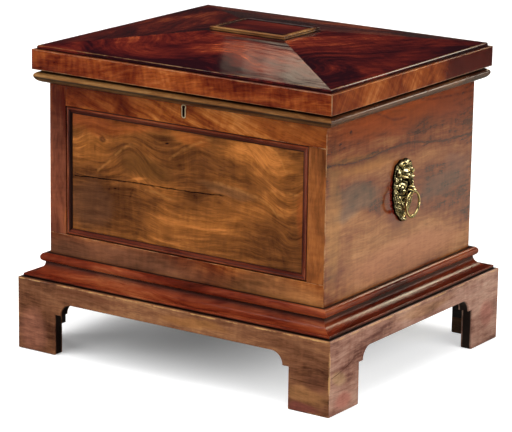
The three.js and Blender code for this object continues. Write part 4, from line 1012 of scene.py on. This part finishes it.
# Rim moulding: a thumb moulding round the head of the case, flat on top, round at its tip and drawn back
# underneath, mitred and glued on. Its tip takes the paler rubbed colour, partly as real rubbing and partly as
# painted light, and painted shade lies under it and along the case. The short sides take darker tones as
# painted shade, and the painted shade under the tip is less dark on them.
RIM_TONES_AS_LIT = {
    "front": ((48, 18, 7), (84, 46, 22), (116, 78, 42), (146, 110, 68)),
    "right": ((30, 10, 6), (56, 26, 14), (84, 48, 28), (116, 82, 52)),
}
rim_section = np.concatenate([
    [(0.0003, 0.4675, -1)],
    sweep_arc((0.0, 0.4806), (0.0200, 0.0131), -86, 0, 18, [-1, -1, -1, -0.6, -0.5, -0.6, -0.9, 0.1]),
    [(0.0199, 0.4809, 0.2), (0.0195, 0.4824, 0.3)],
    sweep_arc((0.0060, 0.4806), (0.0140, 0.0074), 16.3, 90, 11, [0.3, 0.1, -0.8, -1, -1]),
    [(0.0003, 0.4880, -1)],
])
for side in SIDES:
    wood = mahogany(
        f"rim_wood_{side}", upright_axes(side), RIM_TONES_AS_LIT["front" if side in LONG_SIDES else "right"],
        seed=50.0 + SIDES[side], size=9.0, figure=0.5, streak=0.9, rough=0.14, patchy=1.4, worn=0.4,
        rubbed=(160, 122, 72), ior=1.42,
    )
    section = rim_section.copy()
    # On the short sides the painted shade under the tip is lighter.
    if side not in LONG_SIDES:
        section[6:19, 2] = np.linspace(-0.7, -0.1, 13)
    piece = moulding(f"rim_thumb_{side}", section, *pair_for(side, CASE_HALF), side)
    dress(piece, f"rim_moulding_{side}", wood)


# Liner: an open tray of sheet lead dressed into the case, with rounded corners, a turned-over edge and the
# soft dents of the dressing tool.
def metal(name, bright, dull, rough, grime=0.5, scale=60.0, metallic=1.0):
    """Old metal: bright where it is rubbed, dark in the recesses drawn on the piece as painted shade, and
    dull with grime in soft patches.
    """
    made, tree = new_material(name)
    place = add(tree, "ShaderNodeTexCoord").outputs["Object"]
    patches = stretched(tree, place, (1.0, 1.0, 1.0), scale, 5.0, 0.6)
    drawn = add(tree, "ShaderNodeAttribute", attribute_name="wear_and_shade").outputs["Fac"]
    # Painted shade: recesses drawn below zero on the piece go dark.
    deep = ease(tree, drawn, 0.0, -1.0)
    dirt_and_shade = sums(tree, "ADD", deep, ease(tree, patches, 0.45, 0.75, 0.0, grime), clamp=True)
    base = mix_to(tree, dirt_and_shade, colour(bright), colour(dull))
    gloss = mix_to(tree, dirt_and_shade, rough, min(rough + 0.3, 1.0), "FLOAT")
    fine = stretched(tree, place, (1.0, 1.0, 1.0), scale * 9, 3.0, 0.6)
    relief = {"Height": sums(tree, "ADD", fine, patches), "Strength": 0.15, "Distance": 0.0004}
    normal = add(tree, "ShaderNodeBump", relief).outputs[0]
    face = {"Base Color": base, "Roughness": gloss, "Normal": normal, "Metallic": metallic}
    add(tree, "ShaderNodeOutputMaterial", {"Surface": add(tree, "ShaderNodeBsdfPrincipled", face).outputs[0]})
    return made


LINER_OUT, LINER_IN, LINER_SHEET = 0.2597, 0.2147, 0.0016
LINER_FOOT, LINER_HEAD = 0.1283, 0.4283


def tray_ring(inset, up, round_=0.006, steps=16):
    """A rounded rectangle at one height: a unit square pushed out to each side, its corners arcs."""
    a = np.linspace(0, 2 * np.pi, 4 * steps, endpoint=False) + np.pi / (4 * steps)
    radius = max(round_ - inset, 0.002)
    x = np.sign(np.cos(a)) * (LINER_OUT - inset - radius) + radius * np.cos(a)
    y = np.sign(np.sin(a)) * (LINER_IN - inset - radius) + radius * np.sin(a)
    return np.stack([x, y, np.full_like(a, up)], 1)


def tray(name):
    """Rings up the outside, over the edge and down the inside, each moved in by a small sum of waves."""
    rises = np.linspace(0, 1, 14)
    deep = LINER_HEAD - LINER_FOOT
    outside = [(0.0, LINER_FOOT + 0.001 + (deep - 0.002) * t) for t in rises]
    edge = [(0.0004, LINER_HEAD), (LINER_SHEET - 0.0004, LINER_HEAD)]
    inside = [(LINER_SHEET, LINER_HEAD - 0.001 - (deep - LINER_SHEET - 0.004) * t) for t in rises]
    floor_edge = (LINER_SHEET + 0.003, LINER_FOOT + LINER_SHEET)
    levels = [(0.001, LINER_FOOT), *outside, *edge, *inside, floor_edge]
    rings = np.stack([tray_ring(inset, up) for inset, up in levels])
    x, y, z = np.moveaxis(rings, -1, 0)
    wave = np.sin(x * 31 + 2) * np.sin(z * 47) + np.sin(y * 37) * np.sin(z * 29 + 1)
    inward = 1 - 0.0007 * (wave + 2)[..., None] * np.array([1, 1, 0])
    return lay_mesh(name, rings * inward, tube_faces(*x.shape), sharp=50)


lead = metal("dressed_lead", (104, 106, 110), (66, 66, 68), 0.5, grime=0.9, scale=16.0)
dress(tray("lead_tray"), "liner", lead)


# Bottle divisions: two long and three cross boards of thin mahogany, halved together into twelve cells and
# dropped into the liner. The long ones are notched from above, the cross ones from below.
INSIDE_TONES = ((60, 30, 18), (90, 50, 32), (112, 68, 44), (136, 90, 60))
BARE = dict(tones=INSIDE_TONES, size=8.0, figure=0.4, streak=0.8, rough=0.6, worn=0.6, rubbed=(150, 104, 70))
bare = mahogany("bare_mahogany", "xzy", seed=60.0, **BARE)
bare_cross = mahogany("bare_mahogany_cross", "yzx", seed=61.0, **BARE)
LONG_AT, CROSS_AT = (-0.07227, 0.07227), (-0.1309, 0.0, 0.1309)
DIVISION_THICK, NOTCH_HALF = 0.008, 0.0043


def notched(half, low, high, places, from_above):
    """Outline of a board with a notch at each place, down or up to its middle."""
    middle = (low + high) / 2
    notches = []
    for x in places:
        start, end = x - NOTCH_HALF, x + NOTCH_HALF
        notches += [(start, low, 0), (start, middle, 0), (end, middle, 0), (end, low, 0)]
    foot = [(-half, low, 0), *notches, (half, low, 0)]
    if not from_above:
        return foot + [(half, high, 0), (-half, high, 0)]
    return [(-half, low, 0), (half, low, 0)] + [(-u, high if v == low else middle, r) for u, v, r in foot]


for i, y in enumerate(LONG_AT):
    low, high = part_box(f"long_divider_{i + 1}")
    corners = notched(high[0], low[2], high[2], CROSS_AT, True)
    face = -(y - DIVISION_THICK / 2)
    piece = board(f"long_division_{i + 1}", corners, DIVISION_THICK, 0.0006, face, worn=0.8, fade=0.0018)
    dress(piece, f"long_divider_{i + 1}", bare)
for i, x in enumerate(CROSS_AT):
    low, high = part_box(f"cross_divider_{i + 1}")
    corners = notched(high[1], low[2], high[2], LONG_AT, False)
    face = x + DIVISION_THICK / 2
    piece = board(f"cross_division_{i + 1}", corners, DIVISION_THICK, 0.0006, face, "right", worn=0.8, fade=0.0018)
    dress(piece, f"cross_divider_{i + 1}", bare_cross)


# Lock: a box lock let into the top rail, its bolt, and the strike plate in the lid that it holds. The
# solids are right as they are and take a steel and a brass finish.
steel = metal("lock_plate_steel", (120, 116, 108), (62, 54, 46), 0.42, grime=0.7, scale=90.0)
worn_brass = metal("lock_brass", (176, 142, 74), (92, 66, 30), 0.34, grime=0.6, scale=80.0)
redress("lock_case", steel)
redress("lock_bolt", worn_brass)
redress("lock_strike", worn_brass)


# Keyhole escutcheon: a thread of cast brass round the keyhole, driven into the rail. Its rounded lip stands
# proud and is bright, its bore and its foot are painted black as shade.
THREAD_SECTION = (
    (0.0, -0.2310, -1), (0.0, -0.2348, -0.9), (0.0003, -0.2354, -0.2), (0.0010, -0.2358, 0), (0.0016, -0.2355, 0),
    (0.0020, -0.2348, -0.1), (0.0020, -0.2310, -0.9),
)


def ring_faces(rows, around):
    """Faces of a ring: a closed section of rows, each of which runs round to its own start."""
    grid = np.arange(rows * around).reshape(rows, around)
    after = np.roll(grid, -1, axis=1)
    faces = np.stack([grid, after, np.roll(after, -1, axis=0), np.roll(grid, -1, axis=0)], -1)
    return faces.reshape(-1, 4).tolist()


def escutcheon(name):
    """The keyhole outline grown and sunk along a closed section: up the bore, over the lip and down outside."""
    rows, wear_and_shade = [], []
    for grow, y, worth in THREAD_SECTION:
        x, z = keyhole_line(grow)
        rows.append(np.stack([x, np.full_like(x, y), z], 1))
        wear_and_shade.append(np.full_like(x, worth))
    return lay_mesh(name, np.stack(rows), ring_faces(len(rows), len(rows[0])), np.stack(wear_and_shade))


thread = escutcheon("brass_thread")
thread_brass = metal("thread_brass", (196, 172, 132), (20, 12, 7), 0.4, grime=0.3, scale=200.0, metallic=0.35)
dress(thread, "keyhole_escutcheon", thread_brass)


# Handles: a lion mask of cast and chased brass on each side, and the ring that hangs in its mouth. The high
# places are bright, and the hollows between the locks of the mane, the edge of the mask and the grooves and
# back of the ring are painted black as shade.
MASK_FOOT, MASK_MIDDLE = 0.2803, 0.319
HALF_WIDE, HALF_TALL = 32.0, 48.5
RING_OUT, RING_ROUND = 0.302, 0.02125
HOLE_OUT = 0.0217


def bump(y, z, centre, radii, degrees=0.0, power=1.0):
    """A dome over an oval, 1 in the middle: (1 - distance squared) to a power, 0 outside."""
    c, s = math.cos(math.radians(degrees)), math.sin(math.radians(degrees))
    u, v = y - centre[0], z - centre[1]
    far = ((u * c + v * s) / radii[0]) ** 2 + ((v * c - u * s) / radii[1]) ** 2
    return np.maximum(1 - far, 0) ** power


def mask_reach(angle):
    """Edge of the mask in millimetres: an oval with a crest above, a beard below and scallops all round."""
    square = 2.1 + 2.0 * np.clip(np.sin(angle), 0, 1)
    across, up = np.abs(np.cos(angle) / HALF_WIDE), np.abs(np.sin(angle) / HALF_TALL)
    oval = (across**square + up**square) ** (-1 / square)
    turns = (angle / (2 * np.pi)) % 1
    crest = 4 * np.exp(-(((turns - 0.25) / 0.06) ** 2))
    beard = 7 * np.exp(-(((turns - 0.75) / 0.024) ** 2))
    return oval + crest + beard + 0.9 * np.cos(18 * angle)


CURLS = ((0.91, 21, 0.0, 5.4, 5.0), (0.72, 17, 0.5, 5.4, 8.0), (0.54, 12, 0.2, 5.0, 10.0))


def curls(y, z):
    """The mane: rings of curls round the face, each a dome with a spiral groove that winds in to its middle.
    A curl's radius changes by a sixth from one to the next, as the sine of its number."""
    top = np.full_like(y, 1.6)
    for share, count, start, radius, height in CURLS:
        for i in range(count):
            angle = 2 * np.pi * (i + start) / count
            reach = (share + 0.02 * math.sin(3.1 * i)) * mask_reach(angle)
            wide = radius * (1 + 0.16 * math.sin(2.3 * i + height))
            u, v = y - reach * math.cos(angle), z - reach * math.sin(angle)
            far = np.hypot(u, v) / wide
            wound = 0.5 + 0.5 * np.cos(np.arctan2(v, u) * (1 if i % 2 else -1) + 7.5 * far)
            dome = np.sqrt(np.maximum(1 - far**2, 0))
            curl = height * (0.55 + 0.45 * dome) - 2.4 * (1 - wound) * dome
            top = np.maximum(top, np.where(far < 1, curl, 0))
    return top


JOINED = 1.1


def mask_height(y, z):
    """Relief in millimetres: the highest of the mane and many domes, softly joined as the logarithm of the
    sum of e to each times 1.1, over 1.1. The eyes, mouth, nose and ears are hollowed after that."""
    side = np.abs(y)
    parts = [
        curls(y, z),
        14.5 * bump(y, z, (0, 8), (21, 28), power=0.6),
        17.0 * bump(y, z, (0, 29), (11, 11), power=0.6),
        19.5 * bump(side, z, (8.5, 24), (8, 4.2), 14, 0.6),
        16.0 * bump(side, z, (9.6, 17.5), (3.6, 2.7), 0, 0.5),
        15.5 * bump(side, z, (13, 3), (8, 11), 0, 0.6),
        13.0 * bump(side, z, (20, 31), (5.5, 6.5), 30, 0.6),
        22.0 * bump(y, z, (0, 17), (4.6, 15), power=0.6),
        26.4 * bump(y, z, (0, 7.5), (5.6, 4.4), power=0.35),
        26.0 * bump(side, z, (4.8, 0.3), (6.6, 6.2), 0, 0.3),
        17.5 * bump(y, z, (0, -11.5), (7, 4.2), power=0.5),
        12.0 * bump(y, z, (0, -24), (9, 16), power=0.6) + 0.9 * np.sin(1.5 * y + 0.3 * z),
        10.0 * bump(side, z, (9.5, 46), (10, 6), 12, 0.6),
        11.5 * bump(y, z, (0, 46), (4, 5.4), power=0.5),
        9.5 * bump(y, z, (0, -49), (7.4, 6.2), power=0.5),
    ]
    top = np.log(sum(np.exp(JOINED * p) for p in parts)) / JOINED
    top -= 4.5 * bump(side, z, (9.6, 18.5), (6.0, 4.4), 0, 1.0)
    top += 3.6 * bump(side, z, (9.6, 17.6), (3.2, 2.4), 0, 0.5)
    top -= 5.0 * bump(side, z, (5, -7.0), (8.5, 1.8), -8, 0.5)
    top -= 1.2 * bump(y, z, (0, 1), (0.9, 6), power=0.6)
    top -= 3.0 * bump(side, z, (20, 31), (3.0, 4.0), 30, 0.6)
    return np.clip(top, 1.0, 26.8)


def lion_mask(name, facing):
    """The relief on rings from the middle to the edge, closed by a flat back; hollows are painted dark as shade
    by how far a point lies under the mean of its neighbours, and the edge and the back are painted black."""
    turns = np.linspace(0, 2 * np.pi, 300, endpoint=False)
    shares = np.concatenate([np.linspace(0.02, 0.97, 96), [0.985, 0.996, 1.0]])
    reach = shares[:, None] * mask_reach(turns)[None, :]
    y, z = reach * np.cos(turns), reach * np.sin(turns)
    height = mask_height(y, z)
    beside = ((1.8, 0), (-1.8, 0), (0, 1.8), (0, -1.8))
    mean = sum(mask_height(y + dy, z + dz) for dy, dz in beside) / 4
    cavity = np.clip((mean - height) / 0.45, -0.3, 1)
    fall = np.clip((1 - shares[:, None]) / 0.05, 0, 1)
    height = 1.2 + (height - 1.2) * np.sqrt(1 - (1 - fall) ** 2)
    cavity = -np.clip(cavity + 0.15 + 1.2 * (1 - fall), 0, 1)
    flat_back = np.stack([np.zeros(len(turns)), y[-1], z[-1]], -1)
    points = np.concatenate([np.stack([height, y, z], -1), flat_back[None]]) / 1000
    wear_and_shade = np.concatenate([cavity.ravel(), np.full(len(turns), -1.0)])
    x, across, up = MASK_FOOT + points[..., 0], points[..., 1], MASK_MIDDLE + points[..., 2]
    relief = np.stack([facing * x, facing * across, up], -1)
    return lay_mesh(name, relief, tube_faces(*x.shape), wear_and_shade, sharp=60)


def ring_hole(name, facing):
    """The hole through the mouth, widening to both ends so that the curved ring can swing in it: its radius
    is how far the ring has dropped at that place, plus the wire and some room."""
    around = np.linspace(0, 2 * np.pi, 32, endpoint=False)
    across = np.linspace(-0.0125, 0.0125, 15)[:, None]
    radius = RING_ROUND - np.sqrt(RING_ROUND**2 - across**2) + 0.0028
    x = facing * (MASK_FOOT + HOLE_OUT) + radius * np.cos(around)
    z = MASK_MIDDLE + radius * np.sin(around)
    return lay_mesh(name, np.stack([x, np.broadcast_to(across, x.shape), z], -1), tube_faces(*x.shape))


def hanging_ring(name, facing):
    """A round ring whose wire thickens downwards, with collars and a ball at the bottom: the wire's radius
    is a function of the angle round the ring."""
    round_ = np.linspace(0, 2 * np.pi, 160, endpoint=False)
    wire = np.linspace(0, 2 * np.pi, 20, endpoint=False)
    below = np.abs(np.angle(np.exp(1j * (round_ + np.pi / 2)))) * RING_ROUND
    thick = 0.0019 + 0.0003 * (1 - np.sin(round_)) / 2
    for height, middle, wide in ((0.0009, 0.0052, 0.0006), (0.0005, 0.0068, 0.0005)):
        thick = thick + height * np.exp(-(((below - middle) / wide) ** 2))
    thick = np.maximum(thick, np.sqrt(np.maximum(0.0035**2 - below**2, 0)))
    out = RING_ROUND + thick[:, None] * np.cos(wire)
    x = RING_OUT + thick[:, None] * np.sin(wire)
    y, z = out * np.cos(round_)[:, None], out * np.sin(round_)[:, None] + MASK_MIDDLE - RING_ROUND
    # Painted shade: dark in the grooves beside the collars and on the back of the wire, which faces the board.
    deep = np.exp(-(((below - 0.0044) / 0.0005) ** 2)) + np.exp(-(((below - 0.0060) / 0.0004) ** 2))
    deep = -np.clip(deep[:, None] + np.clip(-0.3 - 1.6 * np.sin(wire), 0, 1), 0, 1)
    return lay_mesh(name, np.stack([facing * x, facing * y, z], -1), ring_faces(*x.shape), deep, sharp=60)


mask_brass = metal("mask_brass", (250, 232, 172), (16, 9, 4), 0.22, grime=0.25, scale=160.0)
ring_brass = metal("ring_brass", (248, 228, 162), (30, 18, 7), 0.22, grime=0.25, scale=120.0)
for label, facing in (("right", 1), ("left", -1)):
    mask = lion_mask(f"lion_mask_{label}", facing)
    carve(mask, ring_hole("bore", facing))
    dress(mask, f"mask_{label}", mask_brass)
    ring = hanging_ring(f"hanging_ring_{label}", facing)
    dress(ring, f"ring_{label}", ring_brass, f"ring_{label}")


# Lid frame: four thick mahogany lengths mitred round the lid, whose polished outer face is the lid's edge,
# with softly rubbed arrises. The front length has the seat of the strike underneath.
LID_EDGE_TONES = ((62, 12, 5), (98, 36, 12), (130, 62, 22), (164, 96, 46))
LID_SLANT = {"front": 8, "right": 56, "back": 0, "left": 20}
LID_HALF = (0.3017, 0.2567)
LID_FOOT, LID_HEAD = 0.491, 0.526
LID_FRAME_WIDE = 0.0417
lid_clouds = {"right": [
    ((-0.17, 0.508), (0.16, 0.08), 0, 0.66, 0.9, 0.05),
    ((0.19, 0.508), (0.15, 0.08), 0, 0.08, 0.9, 0.05),
]}
lid_tints = {"right": [((0.20, 0.508), (0.15, 0.08), 0, (62, 6, 12), 0.8, 0.05)]}
for side in SIDES:
    half, face = pair_for(side, LID_HALF)
    corners = rectangle((-half - PAST_CORNER, LID_FOOT), (half + PAST_CORNER, LID_HEAD))
    wood = mahogany(
        f"lid_edge_wood_{side}", upright_axes(side), LID_EDGE_TONES, seed=70.0 + SIDES[side], size=9.0,
        figure=0.8, streak=1.1, curl=0.6, level=0.42, length=0.16, slant=LID_SLANT[side],
        clouds=lid_clouds.get(side, ()), tints=lid_tints.get(side, ()), rough=0.2, patchy=1.3, worn=0.42,
        rubbed=(172, 132, 76),
    )
    # The faces round each length's outline, its ledge on top and its underside, are painted partly dark as shade.
    piece = board(
        f"lid_edge_{side}", corners, LID_FRAME_WIDE, 0.0014, face, side, (half, half), corner=0.0011, worn=0.6,
        corner_worn=0.8, fade=0.0010, edge=-0.55,
    )
    if side == "front":
        low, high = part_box("lock_strike")
        start, end = (low[0] - JOINT, low[1] - JOINT, 0.48), [edge + JOINT for edge in high]
        carve(piece, block("strike_seat", start, end))
    dress(piece, f"lid_frame_{side}", wood, "lid")


# Lid panel: the board inside the lid frame, seen when the lid stands open.
def stacked(name, levels):
    """Rectangles one over another (half x, half y, height, wear), joined by strips and closed by flats."""
    rows = np.asarray(levels, float)
    flat = rows[:, None, :2] * [(-1, -1), (1, -1), (1, 1), (-1, 1)]
    up, wear_and_shade = np.repeat(rows[:, 2:], 4, axis=0).reshape(-1, 4, 2).transpose(2, 0, 1)
    return lay_mesh(name, np.dstack([flat, up]), tube_faces(*up.shape), wear_and_shade)


inner = mahogany("lid_inside_wood", "xyz", INSIDE_TONES, seed=80.0, size=6.0, figure=0.5, streak=0.7, rough=0.45)
lid_board = stacked("lid_board", [
    (0.2567, 0.2117, 0.5130, 0), (0.2591, 0.2141, 0.5130, 0.3), (0.2597, 0.2147, 0.5136, 0.5),
    (0.2597, 0.2147, 0.5260, 0),
])
dress(lid_board, "lid_panel", inner, "lid")


# Hipped top: four sloping pieces of figured mahogany, mitred along the hips and rising to the tablet. They
# are the darkest and most polished part, and the hips show as thin pale lines. On the front the polish has
# sunk in long soft ripples, which break up the glare.
TOP_TONES = ((30, 4, 10), (62, 13, 13), (92, 28, 18), (140, 64, 34))
TOP_RIPPLE = {"front": 0.8, "right": 0.3, "back": 0.0, "left": 0.0}
TOP_PORES = {"front": 0.02, "right": 0.02, "back": 0.0, "left": 0.0}
TOP_SLANT = {"front": -12, "right": 20, "back": 10, "left": -15}
TOP_CLOUDS = {
    "front": [
        ((-0.10, -0.19), (0.13, 0.06), 0, 0.26, 0.7, 0.05),
        ((0.05, -0.22), (0.12, 0.012), 0, 0.10, 0.8, 0.01),
    ],
    "right": [((0.04, 0.262), (0.18, 0.035), 0, 0.62, 0.7, 0.04)],
}
TOP_SWIRLS = {
    "front": [((-0.16, -0.16), 0.09, 60), ((-0.02, -0.17), 0.06, -30)],
    "right": [((-0.14, 0.19), 0.07, 70)],
}
SLOPE_HALF, TABLET_HALF = (0.295, 0.250), (0.076, 0.055)
# The foot of each slope, at the step over the frame, and its head under the tablet are painted dark as shade.
SLOPE_SECTION = np.array([
    (0, 0.5263, -1), (0, 0.5272, -0.6), (0, 0.5292, 0.0), (0.003, 0.5316, 0.8), (0.007, 0.53215, 0.9),
    (0.014, 0.5323, -0.1), (0.04, 0.53290, 0), (0.96, 0.55455, 0), (0.985, 0.55515, -0.6), (1, 0.5555, -1),
    (1, 0.5263, -1),
])


SLOPE_FADE = 0.0022


def slope_length(name, side, gap=0.0001):
    """A slope between two nested rectangles. Each point of its section (share of the way in, up, wear) has
    its own half length and its own distance out, so that the ends lie on the hips."""
    far, near = np.array(pair_for(side, SLOPE_HALF)), np.array(pair_for(side, TABLET_HALF))
    share, up, wear_and_shade = SLOPE_SECTION.T
    half, out = (far + (near - far) * share[:, None]).T[..., None]
    reach = half - gap
    stations = np.concatenate([-reach, SLOPE_FADE - reach, reach - SLOPE_FADE, reach], axis=1)
    ends = np.where(wear_and_shade < DARK_FROM, wear_and_shade, 0.55)
    points = turn_side(side, stations, out, up[:, None])
    return lay_mesh(name, points, length_faces(*stations.shape), np.stack([ends, wear_and_shade, wear_and_shade, ends], 1))


for side in SIDES:
    wood = mahogany(
        f"slope_wood_{side}", "xyz" if side in LONG_SIDES else "yxz", TOP_TONES, seed=90.0 + 2 * SIDES[side],
        size=9.0, waver_by=0.10, figure=0.9, streak=1.3, curl=0.4, level=0.42, length=0.08, slant=TOP_SLANT[side],
        swirls=TOP_SWIRLS.get(side, ()), clouds=TOP_CLOUDS.get(side, ()), rough=0.05, ripple=TOP_RIPPLE[side],
        raised=TOP_PORES[side], worn=0.42, patchy=1.4, rubbed=(160, 120, 70),
    )
    dress(slope_length(f"lid_top_{side}", side), f"lid_slope_{side}", wood, "lid")


# Tablet: the raised block in the middle of the top, its face a little below its light reeded edging, which
# is mitred from one moulding of two reeds with a line of painted shade between them. The block's sides darken
# towards the reeds and the step under them is black, as painted shade; the back and left arms of the reeds
# are painted in shade too.
tablet_wood = mahogany(
    "tablet_wood", "xyz", TOP_TONES, seed=101.0, size=10.0, figure=0.7, streak=0.8, level=0.4, rough=0.14, worn=0.3,
)
tablet = stacked("tablet_block", [
    (0.0757, 0.0547, 0.5263, 0), (0.0757, 0.0547, 0.5555, -0.5), (0.0677, 0.0467, 0.5558, -1),
    (0.0677, 0.0467, 0.5600, -1), (0.0660, 0.0450, 0.5600, -0.2), (0.0640, 0.0430, 0.5600, 0),
])
dress(tablet, "tablet", tablet_wood, "lid")
REED_TONES = ((40, 10, 6), (92, 52, 24), (134, 94, 50), (176, 136, 84))
# Painted shade over the back and left arms of the reeds.
reed_shade = [
    ((0.0, 0.058), (0.20, 0.026), 0, 0.0, 1.0, 0.0),
    ((-0.080, 0.010), (0.020, 0.100), 0, 0.0, 1.0, 0.0),
]
REED_FADE = 0.002


def reeded_frame(name):
    """A closed section carried round four mitred sides: two reeds outside, flat on top and inside."""
    out, up, wear_and_shade = np.concatenate([
        [(-0.008, 0.5558, -1), (-0.0012, 0.5558, -1)],
        sweep_arc((-0.0009, 0.55735), (0.0009, 0.00155), -80, 80, 9, [-0.9, -0.3, 0.0, -0.3, -0.9]),
        sweep_arc((-0.0009, 0.56045), (0.0009, 0.00155), -80, 80, 9, [-0.9, 0.0, 0.3, 0.3, 0.2]),
        [(-0.0020, 0.5620, 0.0), (-0.0050, 0.5620, 0.0), (-0.0072, 0.5620, -0.2)],
        [(-0.0080, 0.5613, -0.8), (-0.0080, 0.5600, -1)],
    ]).T
    stations = []
    for side in SIDES:
        half, face = pair_for(side, TABLET_HALF)
        reach = (half + out)[:, None]
        along = np.concatenate([REED_FADE - reach, reach - REED_FADE, reach], axis=1)
        stations.append(turn_side(side, along, (face + out)[:, None], up[:, None]))
    points = np.concatenate(stations, axis=1)
    worth = np.tile(np.stack([wear_and_shade, wear_and_shade, np.where(wear_and_shade < DARK_FROM, wear_and_shade, 0.6)], 1), (1, 4))
    return lay_mesh(name, points, ring_faces(*worth.shape), worth)


reed_wood = mahogany(
    "reed_wood", "xyz", REED_TONES, seed=110.0, size=12.0, figure=0.4, streak=0.7, level=0.6, clouds=reed_shade,
    rough=0.25, worn=0.0,
)
dress(reeded_frame("tablet_reeds"), "tablet_moulding", reed_wood, "lid")


# Hinges: two brass butts at the back, their leaves screwed to the rim moulding and under the lid frame.
# The solids of leaves and pins are right and take an old brass finish.
hinge_brass = metal("hinge_brass", (186, 150, 80), (88, 62, 30), 0.36, grime=0.7, scale=70.0)
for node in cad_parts:
    if node.startswith("hinge_"):
        redress(node, hinge_brass)
